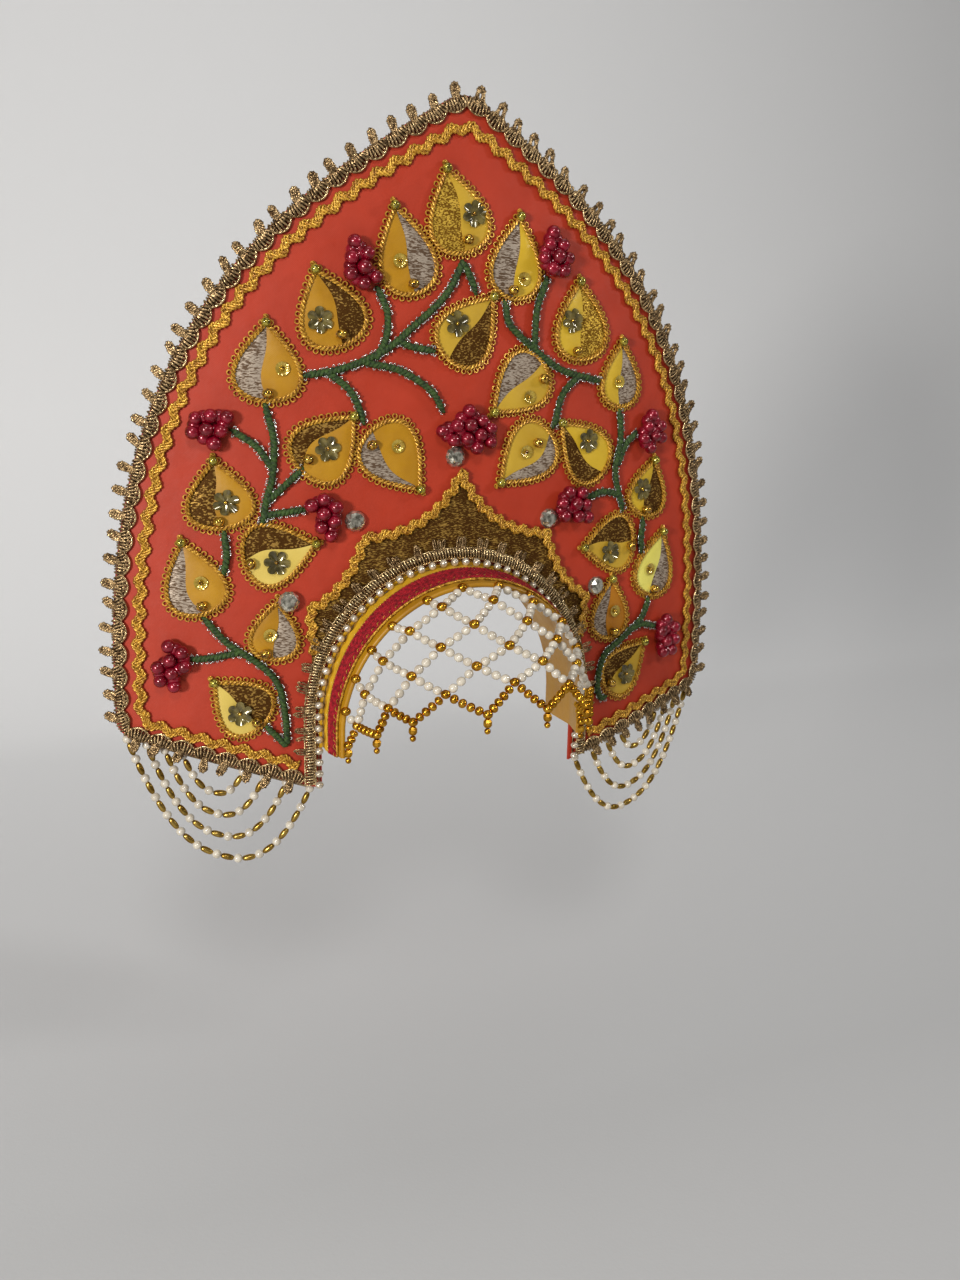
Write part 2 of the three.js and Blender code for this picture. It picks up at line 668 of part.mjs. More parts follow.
function swags(side) {
  const edgeUp = (across) => lowerEdge(across) - BRAID_HALF * Math.hypot(1, WING_SLOPE);
  const hang = (across) => edgeUp(across) - GAP - THREAD / 2;
  const [outerEnd, innerEnd] = SWAGS[0];
  const thread = [outerEnd, (outerEnd + innerEnd) / 2, innerEnd].map((across) => (
    spot(side * across, hang(across), SWAG_OUT)));
  const strings = SWAGS.map(([outer, inner, sag]) => {
    const points = [];
    for (let i = 0; i <= SWAG_POINTS; i += 1) {
      const share = i / SWAG_POINTS;
      const across = outer + (inner - outer) * share;
      const fall = sag * (1 - Math.abs(2 * share - 1) ** SWAG_FULLNESS);
      points.push(spot(side * across, hang(across) - fall - THREAD / 2, SWAG_OUT));
    }
    return tube(points, SWAG, STRING_SIDES, 3 * SWAG);
  });
  return fuse([tube(thread, THREAD, THREAD_SIDES, (outerEnd - innerEnd) / 4), ...strings]);
}

// Finishes
const finish = (color, roughness, metalness) => (
  new THREE.MeshStandardMaterial({ color, roughness, metalness }));
const FINISHES = {
  redSatin: finish(0xb8382a, 0.45, 0),
  goldSatin: finish(0xd9a01e, 0.4, 0.1),
  lame: finish(0x6b4a16, 0.4, 0.6),
  bronzeBraid: finish(0x8f7343, 0.4, 0.7),
  goldBraid: finish(0xe0a320, 0.5, 0.3),
  redBraid: finish(0xb31d22, 0.6, 0),
  greenCord: finish(0x1f5a2a, 0.7, 0),
  berryRed: finish(0x9c1026, 0.2, 0),
  pearl: finish(0xf1ebdc, 0.25, 0),
  goldBead: finish(0xb98522, 0.2, 1),
  silverBead: finish(0xb9b3a2, 0.25, 1),
  clearStone: finish(0xdfe0dc, 0.1, 0.2),
};

const kokoshnik = new THREE.Group();

function add(name, geometry, material) {
  const mesh = new THREE.Mesh(welded(geometry), material);
  mesh.name = name;
  kokoshnik.add(mesh);
}

add('crest_board', bend(crestBoard()), FINISHES.redSatin);
add('edge_galloon', bend(edgeGalloon()), FINISHES.bronzeBraid);
add('edge_ric_rac', bend(edgeRicRac()), FINISHES.goldBraid);
add('crown_panel', bend(crownPanel()), FINISHES.lame);
add('crown_ric_rac', bend(crownRicRac()), FINISHES.goldBraid);
add('opening_galloon', bend(openingGalloon()), FINISHES.bronzeBraid);
add('opening_beads', bend(openingBeads()), FINISHES.silverBead);
add('head_band', headBand(), FINISHES.goldSatin);
add('band_braid', bandBraid(), FINISHES.redBraid);
for (const [name, tipAlong, tipUp, endAlong, endUp, width] of LEAVES) {
  const tip = new THREE.Vector2(tipAlong, tipUp);
  const end = new THREE.Vector2(endAlong, endUp);
  add(name, bend(leaf(tip, end, width)), FINISHES.goldBraid);
}
for (const [name, across, up, halfWidth, halfHeight, lobes] of BUNCHES) {
  const middle = new THREE.Vector2(across, up);
  const reach = new THREE.Vector2(halfWidth, halfHeight);
  add(name, bend(berries(middle, reach, lobes)), FINISHES.berryRed);
}
for (const [name, across, up, seat] of STONES) {
  add(name, bend(stone(new THREE.Vector2(across, up), seat)), FINISHES.clearStone);
}
for (const [name, branches] of Object.entries(VINES)) {
  add(name, bend(vine(branches)), FINISHES.greenCord);
}
add('pearl_net', pearlNet(), FINISHES.pearl);
add('net_gold_hem', netHem(), FINISHES.goldBead);
add('swag_left', bend(swags(-1)), FINISHES.pearl);
add('swag_right', bend(swags(1)), FINISHES.pearl);

export default kokoshnik;
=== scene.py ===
"""Kokoshnik headdress, dressed in cloth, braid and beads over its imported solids.

Sizes are millimetres until a mesh is made. What is sewn to the crest is drawn on the unrolled board as
(along, up, out) and then bent with it; the head band and the nets are drawn as (x, y, z).
"""
import math

import bpy
import numpy as np
from mathutils import Matrix


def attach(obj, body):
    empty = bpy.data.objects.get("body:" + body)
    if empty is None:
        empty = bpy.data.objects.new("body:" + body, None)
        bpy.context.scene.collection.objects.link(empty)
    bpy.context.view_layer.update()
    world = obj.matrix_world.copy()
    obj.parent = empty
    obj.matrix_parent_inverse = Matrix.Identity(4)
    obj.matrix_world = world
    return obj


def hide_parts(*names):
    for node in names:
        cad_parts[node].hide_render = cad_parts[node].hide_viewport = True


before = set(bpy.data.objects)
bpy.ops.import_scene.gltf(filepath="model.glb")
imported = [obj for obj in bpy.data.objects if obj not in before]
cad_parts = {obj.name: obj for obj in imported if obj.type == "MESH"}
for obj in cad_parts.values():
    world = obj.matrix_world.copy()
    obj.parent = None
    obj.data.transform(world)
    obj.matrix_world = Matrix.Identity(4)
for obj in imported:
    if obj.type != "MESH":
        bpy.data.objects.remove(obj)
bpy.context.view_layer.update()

MM = 0.001
CHANCE = np.random.default_rng(7)
OUT = np.array([0.0, 0.0, 1.0])

# Crest board
BEND_RADIUS = 602
GAP = 0.3
BOARD_THICK = 3
CREST_TOP = 280
SIDE_HALF = 211.5
SIDE_LOW = -64.5
SHOULDER = (107, 217)
FLANK = (209.6, 148)
WING_INNER = 92
WING_INNER_UP = -135
WING_SLOPE = 0.317
CORNER_ROUND = 9
PEAK_ROUND = 9
FLANK_POINTS = 160
PEAK_POINTS = 25
LOW_STEEP = math.hypot(1, WING_SLOPE)
RIPPLES = [
    # length along, length up, start
    (17, 29, 0),
    (31, -13, 2),
    (9, 7, 1),
]

# Opening, head band and the trims round them
SPRING_UP = -93.5
OPENING_HALF = 89.3
OPENING_RISE = 97.1
OPENING_POINTS = 80
HEAD_HALF = 85.1
HEAD_RISE = 93.5
BAND_WALL = 3
BAND_END_UP = -112
BAND_BACK = 38
BAND_POINTS = 120
LEG_POINTS = 7
RIM_TAPER_HALF = 4.6
RIM_TAPER_RISE = 5.5
RIM_FRONT_LEG = 18
RIM_FRONT_TOP = 36
BAND_SHARES = (1, 0.98, 0.92, 0.84, 0.76, 0.7, 0.6, 0.5, 0.42, 0.34, 0.28, 0.2, 0.12, 0.05, 0)
BAND_HEMS = [
    # share in front, distance behind, step, radius, sides
    (1, 0, 1.2, 1.65, 10),
    (0, BAND_BACK, 2, 1.6, 8),
]
GATHER_TURN = 1.5
LOOSE_SHARE = 0.3
LOOSE_GATHER = 0.55
TIGHT_GATHER = 0.2
SCALLOP_WIDE = 2.8
SCALLOP_SWING = 1.2
SCALLOP_PITCH = 9
BRAID_SHARES = (0.34, 0.85)
LANE_INSET = 0.035
GOLD_LINES = [
    # share in front, out, plies, pitch, lay, radius, sides
    (0.8, 1.5, 1, 5, 0.9, 0.26, 4),
    (BRAID_SHARES[0] - 0.03, 0.7, 2, 2.6, 0.5, 0.55, 5),
    (BRAID_SHARES[1] + 0.03, 0.7, 2, 2.6, 0.5, 0.55, 5),
]
RUFFLE_SHARES = (0.36, 0.3, 0.24, 0.17, 0.1, 0.03)
RUFFLE_OUT = 0.5
RUFFLE_PUFF = 0.5
BEAD_ROW = 3.5
BEAD_STEP = 7.5
BEAD_HALF = 2.75
PANEL_THICK = 1.2
PANEL_TOP = GAP + PANEL_THICK

# Braids
BRAID_HALF = 4
GALLOON_OUTER = 4.6
GALLOON_INNER_END = 101.5
ARCH_NARROW = 2.0
ARCH_SWELL = 2.1
COIL_POINTS = 9
COIL_LEAN = (0.3, 0.95)
PICOT_PITCH = 14
PICOT_NECK = 0.25
PICOT_STRAY = 0.25
EDGE_PICOT = 9
EDGE_PICOT_REACH = (0.76, 0.86)
EDGE_PICOT_WIDE = (2.3, 3.0)
EDGE_PICOT_CURL = (-0.8, 1.4)
PICOT_LEAN = 0.35
PICOT_FOOT = 4.2
PICOT_FULL_UP = 90
OPENING_PICOT = 7
OPENING_PICOT_REACH = (0.8, 1.0)
OPENING_PICOT_WIDE = 1.1
OPENING_PICOT_CURL = (0, 1.6)
OPENING_BRAID = (4.1, 11.1)
OPENING_BRAID_END_UP = -136
PICOT_LOWEST_UP = -116
TUFT_SLIDES = (-2.1, 0, 2.1)
RIC_INSET_SIDE = 12
RIC_INSET_LOW = 8.5
RIC_INNER_END = 104
EDGE_RIC = (13, 1.6)
CROWN_RIC = (9.5, 1.2)
RIC_HALF = 2.6
RIC_STRANDS = 4
RIC_CROSSING = 9.5
RIC_SHADE_LANES = (-0.6, 0, 0.6)
RIC_TURN = 0.95

# Crown panel, left half, from its foot to the middle
PANEL_CORNERS = [(-92.6, -50), (-95.5, -21.5), (-62, 22), (0, 62)]
PANEL_HOLLOWS = [(-95.5, -40), (-72.5, -12), (-17, 24)]

# Leaves
LEAF_FOOT = 0.7
LEAF_DISH = 1.9
LEAF_POINT = 1.2
LEAF_TIP_INSET = 1.4
LEAF_POINTS = 240
LEAF_SWELL = 0.5
ROPE_INSET = 2.1
CLOTH_INSET = 1.6
CLOTH_END = 0.06
SEAM_LAP = 0.06
SEAM_SWAY = 0.1
LOOP_PITCH = 4.3
LOOP_OUT = 0.35
LOOP_HALF = 1.4
LOOP_POINTS = 9
LOOP_STRAY = (-0.2, 0.3)
GIMP_TAIL = 1.8
TAIL_STRAY = 0.4
TIP_BEAD = 3.2
TIP_BEAD_IN = 2.6
TIP_BEAD_OUT = 3.6
LEAF_BEAD = 3.7
LEAF_BEAD_OUT = 2.6
SEQUIN_THICK = 0.22
FLOWER_HALF = 7.8
FLOWER_PETALS = 6
CUP_HALF = 4.1
CUP_FACETS = 12
CUP_SECTION = [
    # share of the half width, height
    (0.15, 0.1),
    (0.4, 0.2),
    (0.62, 0.9),
    (1.0, 1.2),
]

# In the satin column, every satin but mustard and amber is the mustard satin painted lighter, as painted
# sheen
LEAF_COLUMNS = ("name", "tip", "end", "width", "satin", "cloth", "side", "seam", "sequin_at", "bead_at")
LEAVES = [
    ("c1", (-13, 242.5), (2, 191.5), 42, "gold", "lame_gold", 1, -0.15, (0.58, 0.5), (0.83, 0.11)),
    ("c2", (21, 171), (-10.5, 129), 40, "gold", "lame_brown", -1, 0.05, (0.58, -0.45), None),
    ("l1", (-44.5, 219.5), (-30.5, 166), 38.5, "mustard", "brocade", -1, 0.1, (0.6, -0.25), (0.86, 0)),
    ("l2", (-91.5, 181.5), (-74, 134.5), 43, "mustard", "lame_brown", -1, 0.25, (0.6, -0.36), (0.83, 0.07)),
    ("l3", (-119, 151), (-119, 101.5), 43, "mustard", "brocade", 1, 0.1, (0.58, 0.43), (0.87, 0)),
    ("l4", (-66.5, 97.5), (-100.5, 60.5), 42, "mustard", "lame_brown", 1, 0.35, (0.55, 0.07), (0.8, -0.15)),
    ("l5", (-25, 49.5), (-58.5, 89.5), 42, "mustard", "brocade", -1, 0.4, (0.62, -0.28), (0.83, 0.33)),
    ("l6", (-151.5, 71), (-146, 26.5), 43, "mustard", "lame_brown", 1, 0.1, (0.62, 0.17), (0.86, -0.12)),
    ("l7", (-89, 19.5), (-137, 8), 42, "pale", "lame_brown", 1, 0.1, (0.58, 0.27), (0.88, 0.14)),
    ("l8", (-172, 22.5), (-159, -26), 40, "mustard", "brocade", 1, 0.25, (0.58, 0.21), (0.85, 0.03)),
    ("l9", (-115.5, -14), (-119, -55), 33.5, "mustard", "brocade", -1, 0.12, (0.58, -0.17), (0.86, -0.33)),
    ("l10", (-156.5, -65), (-124, -96), 40, "pale", "lame_brown", -1, -0.05, (0.61, -0.22), (0.86, -0.07)),
    ("r1", (36.5, 219.5), (33.5, 166.5), 38, "yellow", "brocade", 1, -0.1, (0.73, 0.29), (0.87, -0.11)),
    ("r2", (81.5, 184.5), (86.8, 132), 43, "yellow", "lame_gold", -1, 0.05, (0.5, -0.4), (0.86, -0.3)),
    ("r3", (118.5, 149), (119, 102.5), 35.5, "yellow", "brocade", -1, 0, (0.61, -0.12), None),
    ("r4", (19.5, 97.5), (57.5, 132), 40, "gold", "brocade", -1, 0.1, (0.54, -0.5), (0.82, -0.38)),
    ("r5", (25.5, 53.5), (64.5, 88.5), 41, "gold", "brocade", 1, 0.35, (0.55, 0.14), (0.73, 0.09)),
    ("r6", (69.5, 95), (108, 59.5), 40, "yellow", "lame_brown", 1, 0.15, (0.5, 0.34), None),
    ("r7", (154, 71), (145.5, 29), 38, "yellow", "lame_brown", -1, 0, (0.56, -0.38), (0.87, 0)),
    ("r8", (90.5, 10.5), (139, 13.5), 42, "gold", "lame_brown", -1, 0.1, (0.51, -0.3), (0.88, -0.2)),
    ("r9", (166.5, 20.5), (155, -28.5), 40, "sheen_brightest", "brocade", -1, 0.2, (0.61, -0.27), (0.87, 0.15)),
    ("r10", (119, -10), (118.5, -56), 35, "amber", "brocade", 1, 0.1, (0.55, 0.22), (0.86, 0.2)),
    ("r11", (154.5, -59), (118, -93), 38, "gold", "lame_brown", 1, 0.05, (0.59, 0.25), (0.87, -0.15)),
]

# Berries: where each bead of a bunch is sewn on (along, up)
BERRY = 4.55
BERRY_SIZES = (0.9, 1.0)
PILE_EDGE = 1.4
PILE_RISE = 2.6
UNDER_SHARE = 0.9
BUNCHES = {
    "berries_c": [(3, 100), (-14, 87.5), (-5, 91), (3.5, 91.5), (11.5, 94.5), (18, 89.5), (-7, 82), (1.5, 83),
                  (10.5, 85.5), (18, 81), (8.5, 77.5)],
    "berries_l1": [(-68, 195), (-60.5, 189), (-70, 186), (-62.5, 181), (-70.5, 177),
                   (-55.5, 176), (-63, 172)],
    "berries_l2": [(-160, 93), (-151.5, 94.5), (-142.5, 94), (-162, 85), (-154, 86.5),
                   (-146, 86), (-150, 78.5)],
    "berries_l3": [(-94.5, 42.5), (-87, 46), (-80, 41.5), (-87.5, 37.5), (-81, 32.5), (-89, 29.5), (-83, 24)],
    "berries_l4": [(-180.5, -43), (-173, -47), (-180, -51.5), (-187, -56), (-171.5, -55.5), (-179, -59.5),
                   (-186, -64.5), (-178, -68)],
    "berries_r1": [(58, 209), (55, 201.5), (64.5, 202), (51.5, 193.5), (61, 195), (69, 194.5), (57.5, 187.5),
                   (66.5, 187)],
    "berries_r2": [(145, 99), (141, 91.5), (153, 92), (138, 83.5), (147, 85), (154, 84), (145, 77)],
    "berries_r3": [(76.5, 48.5), (71.5, 41.5), (81.5, 41), (89.5, 40), (73.5, 33), (84, 32.5), (92.5, 31.5),
                   (86.5, 48)],
    "berries_r4": [(171, -45.5), (165.5, -54), (179, -52), (170, -61.5), (179, -61),
                   (168.5, -69.5), (177.5, -69)],
}

# Clear stones along the crown panel
STONE = 13.4
STONE_FACETS = 10
STONE_CUTS = [
    # share of the half width, height, half a facet's turn
    (0.94, 0.0, 0),
    (1.0, 1.4, 0),
    (0.80, 3.7, 1),
    (0.50, 5.2, 0),
]
ON_LEAF_TIP = 2.6
STONES = [
    # node, place (along, up), how high it is seated
    ("stone_c", (-3.5, 71.8), 0),
    ("stone_l1", (-67.5, 32.5), 0),
    ("stone_l2", (-108.5, -16.5), ON_LEAF_TIP),
    ("stone_r1", (64.5, 31.4), 0),
    ("stone_r2", (105.5, -16.5), 0),
]

# Vines: the runs of green cord in each, as (along, up)
VINE_OUT = 2.6
VINE_TUCK = 3.5
VINE_JOIN = 3
VINE_TAPER = 5
VINE_PLY = 1.4
STITCH_PITCH = 2.3
STITCH_SHARE = 0.75
STITCH_START = 1.7
STITCH_REACH = (0.8, 1.7)
STITCH_HALF = 0.75
VINES = {
    "vine_l_top": [
        [(-1, 188), (-12, 168), (-31, 150), (-49, 135), (-73, 124), (-95, 119)],
        [(-0.5, 187), (3, 181), (7, 172.5)],
        [(-55, 130), (-49, 141), (-48, 156), (-53, 168)],
        [(-41, 141), (-34, 137.5), (-21, 135.5)],
        [(-61, 127), (-40, 123), (-21, 112), (-13.5, 101.5)],
        [(-84, 121), (-71, 111), (-65, 100), (-63, 94)],
    ],
    "vine_l_mid": [
        [(-120, 99), (-116, 81), (-117, 60), (-121, 45), (-123, 33)],
        [(-117, 64), (-126, 77), (-138, 85)],
        [(-120, 45), (-112, 52), (-101, 62.5)],
        [(-122.5, 36), (-107, 38.5), (-100.5, 39.5)],
    ],
    "vine_l_side": [[(-146, 24), (-145, 12), (-146.5, 3)]],
    "vine_l_low": [
        [(-158, -28.5), (-145, -43), (-127, -56), (-116, -69), (-112, -89), (-111, -107)],
        [(-139, -48), (-154, -51), (-166, -52)],
        [(-122, -98), (-117.5, -102.5), (-112, -109)],
    ],
    "vine_r_top": [
        [(28, 164), (31, 153), (46, 141), (69, 127), (98, 121)],
        [(56, 180), (50, 163), (49, 140)],
        [(83, 123.5), (71, 111), (66, 93)],
    ],
    "vine_r_mid": [
        [(119, 99.3), (120.5, 82), (117, 62), (122, 44), (125, 37)],
        [(133, 86), (125, 79), (119, 66)],
        [(97, 45), (106, 48), (115, 47), (121, 45)],
    ],
    "vine_r_side": [[(145, 26), (144, 14), (145, 7)]],
    "vine_r_low": [
        [(154, -31.5), (148, -43), (131, -55.5), (115.5, -65.5), (110.3, -80), (110, -93)],
        [(136, -50.5), (149, -47.5), (161, -50)],
        [(116.5, -97.3), (113.5, -97.3), (110, -91)],
    ],
}

# Forehead net, right half: the places of its knots, and of the knots seated on the band's rim
NET_KNOTS = [
    # column, row, x, y, z
    (0, 1, 0, -58, -9.5),
    (0, 3, 0, -83, -32),
    (0, 5, 0, -91.5, -52),
    (1, 2, 17, -70, -21),
    (1, 4, 21, -84.5, -42.5),
    (1, 6, 19, -97.5, -68),
    (2, 1, 30, -50.5, -13.5),
    (2, 3, 37.5, -69.5, -33.5),
    (2, 5, 39.5, -83.5, -58),
    (3, 2, 50, -50.5, -27),
    (3, 4, 54, -65.5, -50.5),
    (3, 6, 56.5, -76, -75),
    (4, 3, 64.5, -44.5, -45.5),
    (4, 5, 66.5, -60.5, -70),
    (5, 4, 73.5, -37.5, -67),
    (5, 6, 71, -53, -88),
    (6, 5, 76, -28.5, -89),
    (7, 6, 80.5, -25, -102),
]
NET_SEATS = [
    # column, row, x
    (1, 0, 12),
    (3, 0, 34),
    (4, 1, 55),
    (5, 2, 67),
    (6, 3, 76),
    (7, 4, 81.2),
]
SEAT_FRONT = 1.9
HEM_ROW = 5
NET_PEARL = 2.75
PEARL_STEP = 2.15
NET_KNOT = 3.2
HEM_BEAD = 2.85
HEM_STEP = 1.75
NET_BEAD_SIZES = (0.96, 1.02)
STRING_SAG = 0.6
DROP_LONG = 11.6
DROP_BEADS = [
    # drop, radius, stretch, segments, rings, smooth shading
    (5.2, 2.8, 1.05, 8, 5, False),
    (9.9, 1.9, 1.0, 12, 8, True),
]

# Swags under each wing: how far along each string starts and ends, and its sag
SWAGS = [
    # outer, inner, sag
    (210, 97, 61),
    (198, 112, 47),
    (187, 126, 33),
    (176, 139, 19),
]
SWAG_OUT = -3.4
SWAG_BELOW = 2.4
HOLD_BELOW = 1.2
SWAG_FULLNESS = 2.4
SWAG_PITCH = 14.3
SWAG_PEARL = 3.0
RICE_HALF = 2.0
RICE_FULL = 0.55
RICE_STRETCH = 2.1
THREAD = 0.4

# Studio, in metres
FLOOR_UP = -0.42
WALL_BACK = 1.5
COVE = 0.5
STUDIO_HALF = 14.0
STUDIO_FRONT = -14.0
WALL_TOP = 7.0
PALE_BACK = 1.1
# Painted shade: the floor's paper is darker than the wall's, from the front back to PALE_BACK
FLOOR_PAINTED_SHADE = (0.52, 0.517, 0.513)
WALL_PAPER = (0.92, 0.917, 0.912)
LIGHTS = [
    # name, place, aim, size, watts, colour
    ("left_light", (-1.35, -1.15, 0.2), (0, 0, 0.05), 0.3, 24, (1, 0.98, 0.95)),
    ("soft_light", (-0.5, -1.5, 1.2), (0, 0, 0.05), 0.4, 10, (1, 1, 1)),
    ("right_light", (1.3, -0.8, 0.8), (0, 0, 0.05), 0.2, 6.5, (1, 1, 1)),
    ("top_light", (0.2, -0.2, 2.2), (0, 0.2, 0), 1.6, 5, (1, 1, 1)),
]
AIR_STRENGTH = 0.22

# Camera, in degrees and metres, with its focus in picture points of the photograph
YAW = -22.905
PITCH = -12.3685
ROLL = 1.2207
CAMERA_PLACE = (-0.2585, -0.6505, 0.1075)
FOCUS = 1100
PHOTO_TALL = 1280
SENSOR = 36


# Lines

def unit(vectors):
    return vectors / np.maximum(np.linalg.norm(vectors, axis=-1, keepdims=True), 1e-9)


def bezier(corners, count=40):
    share = np.linspace(0, 1, count)[:, None]
    points = [np.tile(np.array(corner, float), (count, 1)) for corner in corners]
    while len(points) > 1:
        points = [a * (1 - share) + b * share for a, b in zip(points, points[1:])]
    return points[0]


def smooth(points, count=16):
    """A smooth line through the points."""
    knots = np.array(points, float)
    knots = np.concatenate([[2 * knots[0] - knots[1]], knots, [2 * knots[-1] - knots[-2]]])
    share = np.linspace(0, 1, count, endpoint=False)[:, None]
    spans = []
    for a, b, c, d in zip(knots, knots[1:], knots[2:], knots[3:]):
        cubic = (3 * b - a - 3 * c + d) * share ** 3
        square = (2 * a - 5 * b + 4 * c - d) * share ** 2
        spans.append(0.5 * (2 * b + (c - a) * share + square + cubic))
    return np.concatenate([*spans, knots[-2:-1]])


def run_of(line):
    """How far along the line each of its points is."""
    steps = np.linalg.norm(np.diff(line, axis=0), axis=1)
    return np.concatenate([[0], np.cumsum(steps)])


def sampled(places, run, rows):
    """Rows that lie along a run, read at other places along it."""
    return np.stack([np.interp(places, run, column) for column in rows.T], 1)


def even(line, step=None, count=None):
    """The line's points set out again at even steps."""
    run = run_of(line)
    count = count or max(3, round(run[-1] / step) + 1)
    return sampled(np.linspace(0, run[-1], count), run, line)


def longer(line, by):
    """A line carried straight on at both of its ends."""
    start = line[0] + by * unit(line[0] - line[1])
    end = line[-1] + by * unit(line[-1] - line[-2])
    return np.concatenate([[start], line, [end]])


def outward(line):
    """Which way is to the left of a flat line's travel, at each point."""
    travel = unit(np.gradient(line, axis=0))
    return np.stack([-travel[:, 1], travel[:, 0]], 1)


def lifted(flat, out):
    """Flat points at a distance out from the board."""
    return np.concatenate([flat, np.broadcast_to(out, flat.shape[:-1])[..., None]], -1)


def both_sides(left):
    """A line on the left half, and on through its mirror image."""
    return np.concatenate([left, left[-2::-1] * (-1, 1)])


def low_edge(along):
    return WING_INNER_UP + WING_SLOPE * (abs(along) - WING_INNER)


def edge_line(side_out, low_out, inner_end):
    """The crest's edge, moved out at its sides and at its foot."""
    slope = np.array([SHOULDER[0], CREST_TOP - SHOULDER[1]])
    shift = side_out * unit(slope[::-1])
    side = -(SIDE_HALF + side_out)
    drop = low_out * LOW_STEEP
    turn_in = side + CORNER_ROUND
    corner = [
        (turn_in, low_edge(turn_in) - drop),
        (side, low_edge(side) - drop),
        (side, low_edge(side) - drop + CORNER_ROUND),
    ]
    arch = [
        (side, SIDE_LOW),
        (-(FLANK[0] + side_out), FLANK[1]),
        (-(SHOULDER[0] + shift[0]), SHOULDER[1] + shift[1]),
        (0, CREST_TOP + side_out * np.hypot(*slope) / slope[0]),
    ]
    start = (-inner_end, low_edge(inner_end) - drop)
    flank = bezier(arch, FLANK_POINTS)
    below = flank[flank[:, 0] < -PEAK_ROUND]
    peak = bezier([below[-1], flank[-1], below[-1] * (-1, 1)], PEAK_POINTS)[:PEAK_POINTS // 2 + 1]
    return both_sides(np.concatenate([[start], bezier(corner), below[:-1], peak]))


def opening_line(out, end_up):
    """The opening's edge: two legs joined by half an ellipse."""
    half = OPENING_HALF + out
    angle = np.linspace(math.pi, math.pi / 2, OPENING_POINTS)
    arch = np.stack([half * np.cos(angle), SPRING_UP + (OPENING_RISE + out) * np.sin(angle)], 1)
    return both_sides(np.concatenate([[(-half, end_up)], arch]))


def panel_line():
    spans = [bezier(span) for span in zip(PANEL_CORNERS, PANEL_HOLLOWS, PANEL_CORNERS[1:])]
    return both_sides(np.concatenate(spans))


def rim_reach(angle):
    """How far the band stands out in front of the board, at an angle round its arch."""
    return RIM_FRONT_LEG + (RIM_FRONT_TOP - RIM_FRONT_LEG) * np.sin(angle)


def band_line(front, out, behind=0.0):
    """A line round the head band, at a share of its reach in front of the board or a distance behind it."""
    half = HEAD_HALF - RIM_TAPER_HALF * front + out
    rise = HEAD_RISE - RIM_TAPER_RISE * front + out
    angle = np.linspace(math.pi, 0, BAND_POINTS)
    back = behind - rim_reach(angle) * front
    arch = np.stack([half * np.cos(angle), back, SPRING_UP + rise * np.sin(angle)], 1)
    legs = np.linspace(BAND_END_UP, SPRING_UP, LEG_POINTS + 1)[:-1]
    leg_back = np.full(LEG_POINTS, behind - RIM_FRONT_LEG * front)
    foot = np.column_stack([np.full(LEG_POINTS, -half), leg_back, legs])
    return np.concatenate([foot, arch, foot[::-1] * (-1, 1, 1)])


def bent(points):
    """Points of the unrolled board, (along, up, out), brought onto its curve."""
    along, up, out = np.moveaxis(points, -1, 0)
    angle = along / BEND_RADIUS
    radius = BEND_RADIUS + out
    return np.stack([radius * np.sin(angle), BEND_RADIUS - radius * np.cos(angle), up], -1)


# Meshes

FINISHES = {}


class Piece:
    """One piece of the headdress: its points, and its faces with their finishes."""

    def __init__(self, place=None):
        self.place = place
        self.points = []
        self.blocks = []
        self.total = 0

    def add(self, points, faces, finish, smooth_shading=True):
        points = np.asarray(points, float).reshape(-1, 3)
        for block in faces:
            self.blocks.append((np.asarray(block) + self.total, finish, smooth_shading))
        self.points.append(points)
        self.total += len(points)

    def make(self, node, crease=None):
        points = np.concatenate(self.points)
        if self.place:
            points = self.place(points)
        used = list(dict.fromkeys(finish for _, finish, _ in self.blocks))
        corners = np.concatenate([block.ravel() for block, _, _ in self.blocks])
        sizes = np.concatenate([np.full(len(block), block.shape[1]) for block, _, _ in self.blocks])
        numbers = [np.full(len(block), used.index(finish)) for block, finish, _ in self.blocks]
        shading = np.concatenate([np.full(len(block), soft) for block, _, soft in self.blocks])
        mesh = bpy.data.meshes.new(node + "_detail")
        mesh.vertices.add(len(points))
        mesh.vertices.foreach_set("co", (points * MM).ravel())
        mesh.loops.add(len(corners))
        mesh.loops.foreach_set("vertex_index", corners)
        mesh.polygons.add(len(sizes))
        mesh.polygons.foreach_set("loop_start", np.concatenate([[0], np.cumsum(sizes)[:-1]]))
        mesh.polygons.foreach_set("material_index", np.concatenate(numbers))
        mesh.polygons.foreach_set("use_smooth", shading)
        for finish in used:
            mesh.materials.append(FINISHES[finish])
        mesh.update(calc_edges=True)
        mesh.validate()
        if crease:
            mesh.set_sharp_from_angle(angle=math.radians(crease))
        made = bpy.data.objects.new(node + "_detail", mesh)
        bpy.context.scene.collection.objects.link(made)
        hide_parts(node)
        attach(made, "root")


def grid_faces(rows, columns, rows_close=False, columns_close=False):
    row, column = np.meshgrid(
        np.arange(rows if rows_close else rows - 1),
        np.arange(columns if columns_close else columns - 1),
        indexing="ij",
    )
    next_row = (row + 1) % rows
    next_column = (column + 1) % columns
    corners = [
        row * columns + column,
        row * columns + next_column,
        next_row * columns + next_column,
        next_row * columns + column,
    ]
    return np.stack(corners, -1).reshape(-1, 4)


def travel_of(paths, axis, closed):
    """Which way each point of a path, or of several, is heading."""
    if closed:
        return unit(np.roll(paths, -1, axis) - np.roll(paths, 1, axis))
    return unit(np.gradient(paths, axis=axis))


